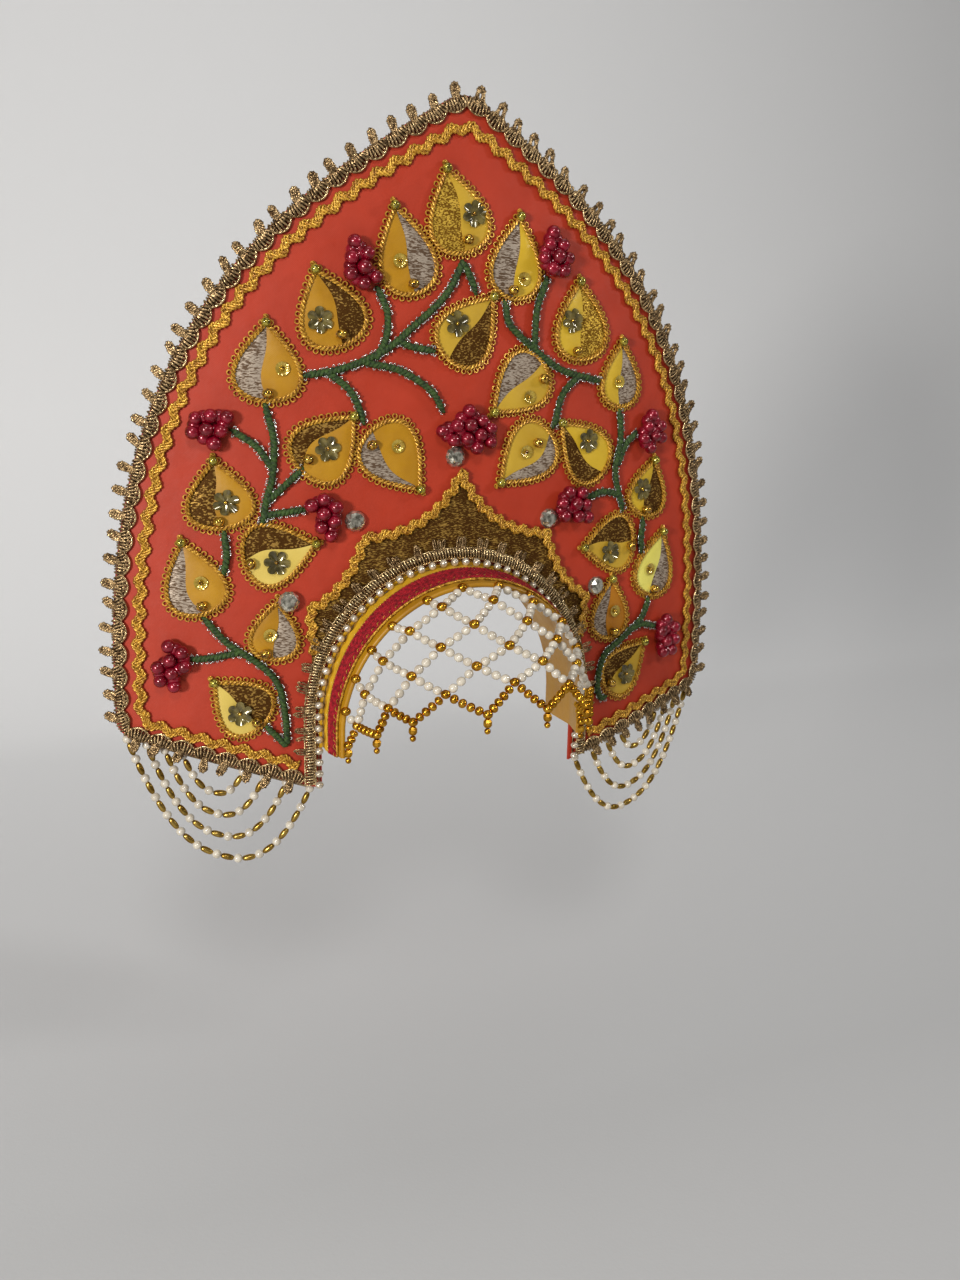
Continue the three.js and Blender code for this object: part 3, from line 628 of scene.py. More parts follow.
def tubes(piece, paths, normals, finish, radius, sides, closed=False):
    """Round threads along paths that have equally many points; open ones have flat ends."""
    paths = np.asarray(paths, float)
    paths = paths[None] if paths.ndim == 2 else paths
    count, steps = paths.shape[:2]
    travel = travel_of(paths, 1, closed)
    side = unit(np.cross(travel, np.broadcast_to(normals, paths.shape)))
    top = np.cross(side, travel)
    turn = 2 * math.pi * (np.arange(sides) + 0.5) / sides
    ring = side[:, :, None] * np.cos(turn)[:, None] + top[:, :, None] * np.sin(turn)[:, None]
    width = np.broadcast_to(radius, (count, steps))[:, :, None, None]
    points = paths[:, :, None] + ring * width
    starts = np.arange(count)[:, None, None] * steps * sides
    quads = grid_faces(steps, sides, rows_close=closed, columns_close=True)[:, ::-1]
    faces = [(quads[None] + starts).reshape(-1, 4)]
    if not closed:
        first = np.arange(sides)
        ends = np.stack([first, (steps - 1) * sides + first[::-1]])
        faces.append((ends[None] + starts).reshape(-1, sides))
    piece.add(points, faces, finish)


def twisted(piece, path, normals, finish, pitch, lay, radius, sides, plies=2, closed=False):
    """A cord of plies laid round a path."""
    path = np.asarray(path, float)
    run = run_of(np.concatenate([path, path[:1]]) if closed else path)
    whole = run[-1]
    run = run[:len(path)]
    travel = travel_of(path, 0, closed)
    side = unit(np.cross(travel, np.broadcast_to(normals, path.shape)))
    top = np.cross(side, travel)
    turn = 2 * math.pi * max(1, round(whole / pitch)) * run / whole
    lines = []
    for ply in range(plies):
        angle = (turn + 2 * math.pi * ply / plies)[:, None]
        lines.append(path + np.reshape(lay, (-1, 1)) * (np.cos(angle) * side + np.sin(angle) * top))
    tubes(piece, np.stack(lines), normals, finish, radius, sides, closed)


def wall(piece, front, back, finish):
    """A sheet with a front and a back, closed round its edge."""
    rows, columns = front.shape[:2]
    facing = np.cross(front[1, 2] - front[1, 1], front[2, 1] - front[1, 1])
    if np.dot(facing, front[1, 1] - back[1, 1]) < 0:
        front = front[:, ::-1]
        back = back[:, ::-1]
    size = rows * columns
    quads = grid_faces(rows, columns)
    number = np.arange(size).reshape(rows, columns)
    rim = np.concatenate([number[0, :-1], number[:-1, -1], number[-1, :0:-1], number[:0:-1, 0]])
    after = np.roll(rim, -1)
    edge = np.stack([rim, rim + size, after + size, after], 1)
    points = np.concatenate([front.reshape(-1, 3), back.reshape(-1, 3)])
    piece.add(points, [quads, quads[:, ::-1] + size, edge], finish)


def ball_form(segments, rings, full=1.0):
    """A ball of radius one with its poles on the third axis, or a barrel where full is under one."""
    down = math.pi * np.arange(1, rings) / rings
    belt = np.sin(down) ** full
    round_it = 2 * math.pi * np.arange(segments) / segments
    belts = np.stack([
        np.outer(belt, np.cos(round_it)),
        np.outer(belt, np.sin(round_it)),
        np.outer(np.cos(down), np.ones(segments)),
    ], -1).reshape(-1, 3)
    points = np.concatenate([[(0, 0, 1)], belts, [(0, 0, -1)]])
    quads = grid_faces(rings - 1, segments, columns_close=True)[:, ::-1] + 1
    one = np.arange(segments)
    two = (one + 1) % segments
    low = 1 + (rings - 2) * segments
    last = np.full(segments, len(points) - 1)
    caps = np.concatenate([
        np.stack([np.zeros(segments, int), 1 + one, 1 + two], 1),
        np.stack([last, low + two, low + one], 1),
    ])
    return points, quads, caps


def balls(piece, centres, radius, finish, axes=OUT, stretch=1.0, segments=14, rings=9, smooth_shading=True,
          full=1.0):
    """Beads, each with its bore along an axis, stretched along it."""
    centres = np.atleast_2d(np.asarray(centres, float))
    form, quads, caps = ball_form(segments, rings, full)
    axes = unit(np.broadcast_to(axes, centres.shape).astype(float))
    helper = np.where(np.abs(axes[:, :1]) > 0.8, (0.0, 1.0, 0.0), (1.0, 0.0, 0.0))
    first = unit(np.cross(axes, helper))
    second = np.cross(axes, first)
    width = np.broadcast_to(radius, len(centres))[:, None, None]
    around = form[None, :, :1] * first[:, None] + form[None, :, 1:2] * second[:, None]
    points = centres[:, None] + width * (around + stretch * form[None, :, 2:] * axes[:, None])
    starts = np.arange(len(centres))[:, None, None] * len(form)
    faces = [(quads[None] + starts).reshape(-1, 4), (caps[None] + starts).reshape(-1, 3)]
    piece.add(points, faces, finish, smooth_shading)


# Finishes

def feed(tree, made, **inputs):
    """Sets the inputs of a shader node, to plain values or from other nodes."""
    for name, value in inputs.items():
        socket = made.inputs[name.replace("_", " ")]
        if isinstance(value, bpy.types.NodeSocket):
            tree.links.new(value, socket)
        else:
            socket.default_value = value


def shader_node(tree, kind, **inputs):
    made = tree.nodes.new("ShaderNode" + kind)
    feed(tree, made, **inputs)
    return made


def new_finish(name, color, roughness, metallic=0.0, **plain):
    """A material with plain values on its shader, and the means to vary them."""
    made = bpy.data.materials.new(name)
    made.use_nodes = True
    FINISHES[name] = made
    tree = made.node_tree
    shader = tree.nodes["Principled BSDF"]
    feed(tree, shader, Base_Color=(*color, 1), Roughness=roughness, Metallic=metallic, **plain)
    return tree, shader


def clouds(tree, size, stretch=(1, 1, 1), detail=2.0):
    """Soft blotches of a size in millimetres, drawn out along the three axes."""
    place = shader_node(tree, "TexCoord").outputs["Object"]
    scale = [1 / (size * MM * share) for share in stretch]
    scaled = shader_node(tree, "Mapping", Vector=place, Scale=scale).outputs["Vector"]
    return shader_node(tree, "TexNoise", Vector=scaled, Scale=1, Detail=detail).outputs["Fac"]


def ribs(tree, pitch, waver):
    """Wavering ribs of a pitch in millimetres, across the diagonal."""
    place = shader_node(tree, "TexCoord").outputs["Object"]
    scale = 2 * math.pi / (20 * pitch * MM)
    texture = shader_node(tree, "TexWave", Vector=place, Scale=scale, Distortion=waver)
    texture.bands_direction = "DIAGONAL"
    return texture.outputs["Fac"]


def stops(tree, factor, *shades):
    """Shades along a factor, each (place, colour)."""
    ramp = shader_node(tree, "ValToRGB", Fac=factor)
    band = ramp.color_ramp
    while len(band.elements) < len(shades):
        band.elements.new(0.5)
    for element, (place, color) in zip(band.elements, shades):
        element.position = place
        element.color = (*color, 1)
    return ramp.outputs["Color"]


def ranged(tree, factor, start, end, low=0.0, high=1.0):
    """A factor's range from start to end brought to run from low to high."""
    limits = {"From_Min": start, "From_Max": end, "To_Min": low, "To_Max": high}
    return shader_node(tree, "MapRange", Value=factor, **limits).outputs["Result"]


def spread(tree, factor, low, high):
    """A factor's middle range brought to run from low to high."""
    return ranged(tree, factor, 0.3, 0.7, low, high)


def raise_by(tree, shader, height, depth):
    """Relief of a depth in millimetres, over what relief there is."""
    bump = shader_node(tree, "Bump", Strength=1, Distance=depth * MM, Height=height)
    previous = shader.inputs["Normal"].links
    if previous:
        feed(tree, bump, Normal=previous[0].from_socket)
    feed(tree, shader, Normal=bump.outputs["Normal"])


def satin(name, dark, light, roughness, sheen, shine=0.4):
    """Satin weave: long floats that catch the light, with soft waves under them."""
    tree, shader = new_finish(name, light, roughness, Sheen_Weight=0.08, Sheen_Roughness=0.4,
                              Sheen_Tint=(*sheen, 1), Specular_IOR_Level=shine)
    shade = stops(tree, clouds(tree, size=26, detail=3), (0.3, dark), (0.7, light))
    polish = spread(tree, clouds(tree, size=9), roughness - 0.07, roughness + 0.07)
    feed(tree, shader, Base_Color=shade, Roughness=polish)
    raise_by(tree, shader, ribs(tree, pitch=0.55, waver=1.5), depth=0.035)
    raise_by(tree, shader, clouds(tree, size=14, detail=3), depth=0.5)


def metal_thread(name, dark, light, roughness, metallic, wrap, **plain):
    """Thread wrapped in metal foil, or a bare one where it isn't metallic."""
    tree, shader = new_finish(name, light, roughness, metallic, **plain)
    shade = stops(tree, clouds(tree, size=2.2, detail=4), (0.36, dark), (0.62, light))
    polish = spread(tree, clouds(tree, size=1.4), roughness - 0.1, roughness + 0.12)
    feed(tree, shader, Base_Color=shade, Roughness=polish)
    raise_by(tree, shader, ribs(tree, wrap, waver=2.0), depth=0.08)


def flecked(name, ground, fleck, grain, share, depth, patchy=0.35):
    """Woven cloth with metal flecks lying along it."""
    tree, shader = new_finish(name, ground, 0.4, Specular_IOR_Level=0.15, Specular_Tint=(0.9, 0.62, 0.3, 1))
    factor = clouds(tree, size=1.0, stretch=grain, detail=2)
    mixed = shader_node(tree, "Math")
    mixed.operation = "MULTIPLY_ADD"
    tree.links.new(clouds(tree, size=7, detail=2), mixed.inputs[0])
    mixed.inputs[1].default_value = patchy
    tree.links.new(factor, mixed.inputs[2])
    shade = stops(tree, mixed.outputs["Value"], (share - 0.05, ground), (share + 0.04, fleck))
    polish = spread(tree, factor, 0.6, 0.34)
    feed(tree, shader, Base_Color=shade, Metallic=spread(tree, factor, 0.1, 0.6), Roughness=polish)
    raise_by(tree, shader, factor, depth)
    raise_by(tree, shader, clouds(tree, size=11, detail=2), depth=0.5)


def bead_finish(name, dark, light, roughness, metallic=0.0, grain=5, **plain):
    """A bead's skin, a little uneven in colour and polish."""
    tree, shader = new_finish(name, light, roughness, metallic, **plain)
    shade = stops(tree, clouds(tree, size=grain, detail=2), (0.35, dark), (0.65, light))
    polish = spread(tree, clouds(tree, size=1.8), roughness * 0.8, roughness * 1.3)
    feed(tree, shader, Base_Color=shade, Roughness=polish)
    raise_by(tree, shader, clouds(tree, size=2.4), depth=0.05)


def studio_paper():
    """Paper that is pale on the wall and painted grey on the floor, as painted shade."""
    tree, shader = new_finish("studio_paper", WALL_PAPER, 0.9)
    place = shader_node(tree, "TexCoord").outputs["Object"]
    back = shader_node(tree, "SeparateXYZ", Vector=place).outputs["Y"]
    shade = stops(tree, ranged(tree, back, 0, PALE_BACK), (0, FLOOR_PAINTED_SHADE), (1, WALL_PAPER))
    feed(tree, shader, Base_Color=shade)
    raise_by(tree, shader, clouds(tree, size=3), depth=0.1)


def make_finishes():
    # name, dark, light, roughness, sheen, shine
    satin("satin_red", (0.345, 0.028, 0.0085), (0.40, 0.034, 0.0115), 0.54, (1, 0.4, 0.3), 0.3)
    satin("satin_mustard", (0.33, 0.15, 0.004), (0.425, 0.21, 0.006), 0.38, (1, 0.85, 0.4))
    # painted sheen: the mustard satin made lighter
    satin("satin_yellow", (0.50, 0.31, 0.014), (0.62, 0.41, 0.03), 0.36, (1, 0.95, 0.5))
    # painted sheen: the mustard satin made lighter
    satin("satin_gold", (0.43, 0.255, 0.018), (0.52, 0.33, 0.032), 0.36, (1, 0.95, 0.5))
    satin("satin_ruffle", (0.50, 0.27, 0.010), (0.68, 0.39, 0.018), 0.36, (1, 0.9, 0.4))
    # painted sheen: the mustard satin made lighter
    satin("satin_sheen_brightest", (0.66, 0.58, 0.10), (0.78, 0.70, 0.15), 0.34, (1, 1, 0.6))
    # painted sheen: the mustard satin made lighter
    satin("satin_pale", (0.54, 0.39, 0.07), (0.64, 0.48, 0.11), 0.36, (1, 1, 0.6))
    satin("satin_amber", (0.36, 0.13, 0.005), (0.45, 0.18, 0.008), 0.38, (1, 0.8, 0.4))
    # name, ground, fleck, grain, share, depth, patchiness
    flecked("panel_lame", (0.058, 0.023, 0.005), (0.46, 0.275, 0.062), (2.0, 2.0, 0.4), 0.77, 0.14)
    flecked("lame_brown", (0.058, 0.023, 0.0045), (0.36, 0.21, 0.05), (1.7, 1.7, 1.0), 0.755, 0.3)
    flecked("lame_gold", (0.15, 0.07, 0.007), (0.66, 0.42, 0.06), (1.4, 1.4, 0.8), 0.70, 0.3)
    flecked("brocade", (0.10, 0.062, 0.038), (0.42, 0.345, 0.27), (2.6, 2.6, 0.55), 0.62, 0.16, 0.25)
    # name, dark, light, roughness, metallic, wrap
    metal_thread("bronze", (0.075, 0.038, 0.013), (0.50, 0.34, 0.165), 0.28, 0.8, 0.5)
    # Painted shade: a dark copy of the bronze thread
    metal_thread("bronze_painted_shade", (0.05, 0.026, 0.010), (0.14, 0.08, 0.03), 0.5, 0.6, 0.5)
    # Painted highlight: a light copy of the bronze thread
    metal_thread("bronze_painted_highlight", (0.26, 0.16, 0.065), (0.78, 0.60, 0.32), 0.24, 0.85, 0.4)
    metal_thread("gold_thread", (0.26, 0.10, 0.005), (0.70, 0.395, 0.045), 0.3, 0.4, 0.45)
    # Painted shade: a dark copy of the gold thread, for tubes laid in the gaps of ropes and plaits
    metal_thread("gold_painted_shade", (0.10, 0.034, 0.002), (0.26, 0.11, 0.008), 0.5, 0.3, 0.45)
    metal_thread("red_thread", (0.15, 0.002, 0.006), (0.40, 0.010, 0.020), 0.6, 0.0, 0.5,
                 Specular_IOR_Level=0.25)
    metal_thread("green_thread", (0.007, 0.022, 0.002), (0.036, 0.080, 0.008), 0.72, 0.0, 0.5)
    metal_thread("silver_wire", (0.35, 0.36, 0.34), (0.80, 0.81, 0.78), 0.25, 0.8, 0.4)
    # name, dark, light, roughness, metallic, grain
    bead_finish("berry_red", (0.12, 0.0005, 0.005), (0.27, 0.002, 0.018), 0.3, 0.35, Coat_Weight=0.8,
                Coat_Roughness=0.14, Specular_IOR_Level=0.2)
    bead_finish("pearl", (0.46, 0.40, 0.31), (0.64, 0.58, 0.47), 0.2, Coat_Weight=1.0, Coat_Roughness=0.05)
    bead_finish("champagne", (0.50, 0.42, 0.31), (0.78, 0.70, 0.57), 0.18, 0.6)
    bead_finish("gold_bead", (0.34, 0.15, 0.012), (0.66, 0.36, 0.04), 0.22, 0.95,
                Specular_Tint=(0.8, 0.45, 0.08, 1))
    bead_finish("gold_rice", (0.21, 0.12, 0.02), (0.46, 0.30, 0.072), 0.26, 0.95,
                Specular_Tint=(0.8, 0.5, 0.12, 1))
    # Painted reflection: on the glass beads and the clear stones, coarse blotches from near black to bright
    # stand in for the glints of their facets
    bead_finish("amber_glass", (0.08, 0.026, 0.001), (0.80, 0.47, 0.05), 0.08, 0.8, 1.8,
                Coat_Weight=0.5, Coat_Roughness=0.03)
    bead_finish("olive_glass", (0.07, 0.05, 0.002), (0.50, 0.41, 0.04), 0.08, 0.5, 1.8,
                Coat_Weight=0.6, Coat_Roughness=0.03)
    bead_finish("sequin_smoke", (0.05, 0.038, 0.009), (0.19, 0.145, 0.038), 0.16, 0.25, Coat_Weight=0.4)
    bead_finish("sequin_gold", (0.32, 0.20, 0.014), (0.52, 0.37, 0.05), 0.14, 0.4, Coat_Weight=0.8)
    bead_finish("clear_stone", (0.20, 0.185, 0.14), (0.84, 0.80, 0.66), 0.05, 0.8, 2.6, Coat_Weight=0.8)
    bead_finish("thread", (0.5, 0.44, 0.34), (0.7, 0.64, 0.52), 0.5)
    studio_paper()


# The crest and what is sewn round it

def ripple(points, height):
    """Slow waves in a cloth, as a change of its distance out."""
    along = points[..., 0]
    up = points[..., 1]
    waves = sum(np.sin(along / across + up / rise + start) for across, rise, start in RIPPLES)
    return height * waves / len(RIPPLES)


def sheet_between(inner, outer, columns, top, bottom, soften, wave):
    """The front and the back of a flat sheet that runs from one line to another, softened round its edge."""
    share = np.linspace(0, 1, columns)[None, :, None]
    flat = inner[:, None] * (1 - share) + outer[:, None] * share
    middle = np.zeros(flat.shape[:2])
    middle[1:-1, 1:-1] = 1
    front = top - soften * (1 - middle) + ripple(flat, wave) * middle
    back = bottom + soften * (1 - middle)
    return lifted(flat, front), lifted(flat, back)


def crest_board():
    piece = Piece(bent)
    outer = edge_line(BRAID_HALF, BRAID_HALF, OPENING_HALF)
    inner = even(opening_line(0, outer[0, 1]), count=241)
    rest = even(outer[1:-1], count=241)
    front, back = sheet_between(inner, rest, columns=36, top=0, bottom=-BOARD_THICK, soften=0.6, wave=0.3)
    wall(piece, front, back, "satin_red")
    piece.make("crest_board", crease=50)


def turned(direction, angle):
    """A flat direction turned to the left."""
    x, y = direction
    return np.array([x * math.cos(angle) - y * math.sin(angle), x * math.sin(angle) + y * math.cos(angle)])


def picot(piece, base, up, reach, wide, out, curl, thread, foot=0.0):
    """One twisted loop of thread that stands out from a braid, its ends a foot apart to either side."""
    theta = np.linspace(PICOT_NECK, 2 * math.pi - PICOT_NECK, 26)
    rise = (1 - np.cos(theta)) / 2
    bulge = np.sin(theta) * np.abs(np.sin(theta / 2)) ** 1.2
    sway = wide * bulge + foot * (1 - rise) * np.sign(np.sin(theta))
    along = np.array([up[1], -up[0]])
    flat = base + (reach * rise)[:, None] * up + sway[:, None] * along
    path = lifted(flat, out + curl * rise)
    twisted(piece, path, OUT, "bronze", pitch=2.8, lay=thread * 0.85, radius=thread, sides=4)


def coil(piece, line, radius, finish, out, lift, pitch, thread):
    """Metal thread wound round a line, wider and narrower as the radius along the line says."""
    run = run_of(line)
    turns = round(run[-1] / pitch)
    places = np.linspace(0, run[-1], turns * COIL_POINTS + 1)
    away = unit(sampled(places, run, outward(line)))
    wide = np.interp(places, run, radius)
    angle = 2 * math.pi * turns * places / run[-1]
    flat = sampled(places, run, line) + (wide * np.cos(angle))[:, None] * away
    wound = lifted(flat, out + lift * np.sin(angle))
    tubes(piece, wound, lifted(away, 0) * COIL_LEAN[0] + OUT * COIL_LEAN[1], finish, radius=thread, sides=4)


def edge_galloon():
    piece = Piece(bent)
    line = even(edge_line(0, 0, GALLOON_INNER_END), 0.8)
    run = run_of(line)
    arches = round(run[-1] / PICOT_PITCH)
    away = outward(line)
    bow = np.abs(np.sin(run / run[-1] * arches * math.pi)) ** 0.7
    radius = ARCH_NARROW + ARCH_SWELL * bow
    middle = line + (GALLOON_OUTER - 0.7 - radius)[:, None] * away
    inner = line + (GALLOON_OUTER - 0.9 - 2 * radius)[:, None] * away
    coil(piece, middle, radius, "bronze", out=GAP + 1.7, lift=1.1, pitch=1.9, thread=0.72)
    # Painted shade: a dark tube under the coil, between its turns
    tubes(piece, lifted(even(middle, 1.4), GAP + 1.2), OUT, "bronze_painted_shade", radius=1.1, sides=5)
    # Painted highlight: a light tube along the braid's inner edge
    tubes(piece, lifted(even(inner, 1.0), GAP + 1.6), OUT, "bronze_painted_highlight", radius=0.75, sides=5)
    for place in (np.arange(arches) + 0.5) * run[-1] / arches:
        base = sampled([place], run, line)[0]
        near = np.argmin(np.abs(run - place))
        up = turned(away[near], PICOT_LEAN * away[near, 0] + CHANCE.uniform(-PICOT_STRAY, PICOT_STRAY))
        reach = (BRAID_HALF + EDGE_PICOT) * CHANCE.uniform(*EDGE_PICOT_REACH)
        wide = CHANCE.uniform(*EDGE_PICOT_WIDE)
        curl = CHANCE.uniform(*EDGE_PICOT_CURL)
        picot(piece, base, up, reach, wide, GAP + 2, curl, thread=0.9)
        foot = PICOT_FOOT * np.clip(base[1] / PICOT_FULL_UP, 0, 1) * (base[0] > 0)
        picot(piece, base, up, 0.85 * reach, 0.3 * wide, GAP + 2, curl, thread=0.8, foot=foot)
    piece.make("edge_galloon")


def opening_galloon():
    piece = Piece(bent)
    near, far = OPENING_BRAID
    middle = even(opening_line((near + far) / 2, OPENING_BRAID_END_UP), 0.8)
    away = outward(middle)
    half = (far - near) / 2
    out = PANEL_TOP + GAP
    run = run_of(middle)
    radius = np.full(len(middle), half - 0.4)
    # Painted highlight: the coil and its two edges are the light copy of bronze; painted shade: the dark tube
    # under the coil
    coil(piece, middle, radius, "bronze_painted_highlight", out=out + 1.3, lift=0.9, pitch=1.9, thread=0.52)
    tubes(piece, lifted(even(middle, 1.6), out + 0.8), OUT, "bronze_painted_shade", radius=1.2, sides=5)
    for side in (-1, 1):
        edge = lifted(even(middle + side * (half - 0.2) * away, 0.9), out + 1.1)
        twisted(piece, edge, OUT, "bronze_painted_highlight", pitch=2.4, lay=0.4, radius=0.45, sides=4)
    tufts = round(run[-1] / PICOT_PITCH)
    for place in (np.arange(tufts) + 0.5) * run[-1] / tufts:
        for slide in TUFT_SLIDES:
            near_point = np.argmin(np.abs(run - place - slide))
            if middle[near_point, 1] < PICOT_LOWEST_UP:
                continue
            up = turned(away[near_point], CHANCE.uniform(-PICOT_STRAY, PICOT_STRAY))
            reach = (half + OPENING_PICOT) * CHANCE.uniform(*OPENING_PICOT_REACH)
            curl = CHANCE.uniform(*OPENING_PICOT_CURL)
            picot(piece, middle[near_point], up, reach, OPENING_PICOT_WIDE, out + 1.6, curl, thread=0.4)
    piece.make("opening_galloon")


def ric_rac(node, line, out, pitch, swing):
    """Wavy plait of strands that cross from edge to edge over dark tubes, painted shade in the grooves
    between them.
    """
    piece = Piece(bent)
    line = even(line, 0.7)
    run = run_of(line)
    away = outward(line)
    sway = swing * np.sin(2 * math.pi * round(run[-1] / pitch) * run / run[-1])
    for lane in RIC_SHADE_LANES:
        shade_tube = lifted(line + (sway + lane * RIC_HALF)[:, None] * away, out + 0.75)
        tubes(piece, shade_tube, OUT, "gold_painted_shade", radius=0.75, sides=4)
    for strand in range(RIC_STRANDS):
        cross = 2 * math.pi * (run / RIC_CROSSING + strand / RIC_STRANDS)
        aside = RIC_HALF * np.arcsin(RIC_TURN * np.sin(cross)) / math.asin(RIC_TURN)
        path = lifted(line + (sway + aside)[:, None] * away, out + 1.4 + 0.4 * np.sin(2 * cross))
        tubes(piece, path, OUT, "gold_thread", radius=0.78, sides=5)
    piece.make(node)


def crown_panel():
    piece = Piece(bent)
    outer = even(panel_line(), count=121)
    inner = even(opening_line(OPENING_BRAID[0] + 1, PANEL_CORNERS[0][1]), count=121)
    front, back = sheet_between(inner, outer, columns=16, top=PANEL_TOP, bottom=GAP, soften=0.3, wave=0.2)
    wall(piece, front, back, "panel_lame")
    piece.make("crown_panel", crease=50)


def opening_beads():
    piece = Piece(bent)
    line = opening_line(BEAD_ROW / 2 + GAP, OPENING_BRAID_END_UP)
    beads = even(line, BEAD_STEP)
    along = lifted(outward(beads)[:, ::-1] * (1, -1), 0)
    balls(piece, lifted(beads, GAP + BEAD_HALF + 0.6), BEAD_HALF, "champagne", along, stretch=0.85)
    tubes(piece, lifted(even(line, 2), GAP + 0.6), OUT, "bronze", radius=THREAD, sides=4)
    piece.make("opening_beads")


# The head band

def arch_normals(path):
    """Which way is out from the middle of the arch, at each point of a path round the band."""
    return unit((path - (0, 0, SPRING_UP)) * (1, 0, 1))


def braid_lane(front, out, share):
    """A line round the band, and half the width of a cord on it, which narrows with the band."""
    reach = rim_reach(np.linspace(math.pi, 0, BAND_POINTS))
    legs = np.full(LEG_POINTS, RIM_FRONT_LEG)
    return band_line(front, out), share * np.concatenate([legs, reach, legs])


def gathers(lines):
    """Which way and how deep the satin is gathered, at each point of lines round the band."""
    return np.sin(np.arange(len(lines)) * GATHER_TURN)[:, None]


def head_band():
    piece = Piece()
    rows = [(front, 0) for front in BAND_SHARES]
    rows += [(0, behind) for behind in np.linspace(0, BAND_BACK, 12)[1:]]
    outer = np.stack([band_line(front, BAND_WALL, behind) for front, behind in rows], 1)
    inner = np.stack([band_line(front, 0, behind) for front, behind in rows], 1)
    loose = [front < LOOSE_SHARE and behind == 0 for front, behind in rows]
    gather = gathers(outer) * np.where(loose, LOOSE_GATHER, TIGHT_GATHER)
    gather[:, [0, -1]] = 0
    wall(piece, outer + unit(outer - inner) * gather[..., None], inner, "satin_mustard")
    ruffle = np.stack([band_line(front, BAND_WALL + RUFFLE_OUT) for front in RUFFLE_SHARES], 1)
    under = np.stack([band_line(front, BAND_WALL - RUFFLE_OUT) for front in RUFFLE_SHARES], 1)
    puff = RUFFLE_PUFF * gathers(ruffle)[..., None] * unit(ruffle - under)
    wall(piece, ruffle + puff, under, "satin_ruffle")
    for front, behind, step, radius, sides in BAND_HEMS:
        hem = even(band_line(front, BAND_WALL / 2, behind), step)
        tubes(piece, hem, arch_normals(hem), "satin_mustard", radius, sides)
    turn_in = even(opening_line(-0.5, BAND_END_UP), 1.2)
    scallop = SCALLOP_WIDE + SCALLOP_SWING * np.sin(run_of(turn_in) * 2 * math.pi / SCALLOP_PITCH)
    turn_out = turn_in + scallop[:, None] * outward(turn_in)
    front, back = sheet_between(turn_in, turn_out, columns=5, top=0.9, bottom=GAP, soften=0.1, wave=0.2)
    wall(piece, bent(front), bent(back), "satin_ruffle")
    piece.make("head_band", crease=60)


def band_braid():
    piece = Piece()
    near, far = BRAID_SHARES
    lanes = np.linspace(near + LANE_INSET, far - LANE_INSET, 7)
    for front in lanes:
        line, width = braid_lane(front, BAND_WALL + GAP + 1.1, (lanes[1] - lanes[0]) / 2)
        path = even(line, 1.1)
        half = np.interp(np.linspace(0, 1, len(path)), run_of(line) / run_of(line)[-1], width)
        normals = arch_normals(path)
        twisted(piece, path, normals, "red_thread", pitch=4.2, lay=half * 0.5, radius=half * 0.68, sides=5)
    for front, out, plies, pitch, lay, radius, sides in GOLD_LINES:
        path = even(band_line(front, BAND_WALL + GAP + out), 0.9)
        twisted(piece, path, arch_normals(path), "gold_thread", pitch, lay, radius, sides, plies)
    piece.make("band_braid")


# Leaves, berries, stones and vines

def leaf_axes(leaf):
    tip = np.array(leaf["tip"], float)
    axis = np.array(leaf["end"], float) - tip
    length = np.hypot(*axis)
    axis = axis / length
    return tip, axis, np.array([-axis[1], axis[0]]), length


def leaf_shape(leaf, inset, turn):
    """How far down its axis and across it a leaf's edge is, drawn in by an inset."""
    length = leaf_axes(leaf)[3]
    widest = 2 * math.acos(1 / math.sqrt(LEAF_POINT + 2))
    fullest = math.sin(widest) * math.sin(widest / 2) ** LEAF_POINT
    bulge = np.sin(turn) * np.abs(np.sin(turn / 2)) ** LEAF_POINT
    down = LEAF_TIP_INSET * inset + (length - (1 + LEAF_TIP_INSET) * inset) * (1 - np.cos(turn)) / 2
    return down, (leaf["width"] / 2 - inset) / fullest * bulge


def leaf_line(leaf, inset):
    tip, axis, across, _ = leaf_axes(leaf)
    turn = np.linspace(0, 2 * math.pi, LEAF_POINTS + 1)
    down, wide = leaf_shape(leaf, inset, turn)
    return tip + down[:, None] * axis + wide[:, None] * across


def leaf_place(leaf, down, wide):
    """A place inside a leaf, by its share of the length and of the half width, seen with the tip up."""
    tip, axis, across, length = leaf_axes(leaf)
    turn = math.acos(1 - 2 * down)
    half = leaf_shape(leaf, 0, np.array([turn]))[1][0]
    return tip + down * length * axis + wide * half * across


def leaf_cloth(piece, leaf):
    """The two halves of a leaf: satin laid over a patterned cloth, along a curved seam."""
    tip, axis, across, _ = leaf_axes(leaf)
    turn = np.linspace(CLOTH_END, math.pi - CLOTH_END, 26)
    down, half = leaf_shape(leaf, CLOTH_INSET, turn)
    share = down / down[-1]
    side = leaf["side"]
    seam = -side * leaf["seam"] * np.sin(math.pi * share) ** 0.8 + SEAM_SWAY * np.sin(2 * math.pi * share)
    columns = np.linspace(0, 1, 9)
    for finish, edge, lap, low, high in (
        (leaf["cloth"], -side, SEAM_LAP * side, LEAF_FOOT, LEAF_DISH - 0.45),
        ("satin_" + leaf["satin"], side, 0, LEAF_FOOT + 0.1, LEAF_DISH),
    ):
        wide = (seam[:, None] + lap) * (1 - columns) + edge * columns
        flat = tip + down[:, None, None] * axis + (wide * half[:, None])[..., None] * across
        swell = LEAF_SWELL * np.sin(math.pi * columns)[None, :] * np.sin(math.pi * share)[:, None]
        wall(piece, lifted(flat, high + swell + ripple(flat, 0.2)), lifted(flat, low), finish)


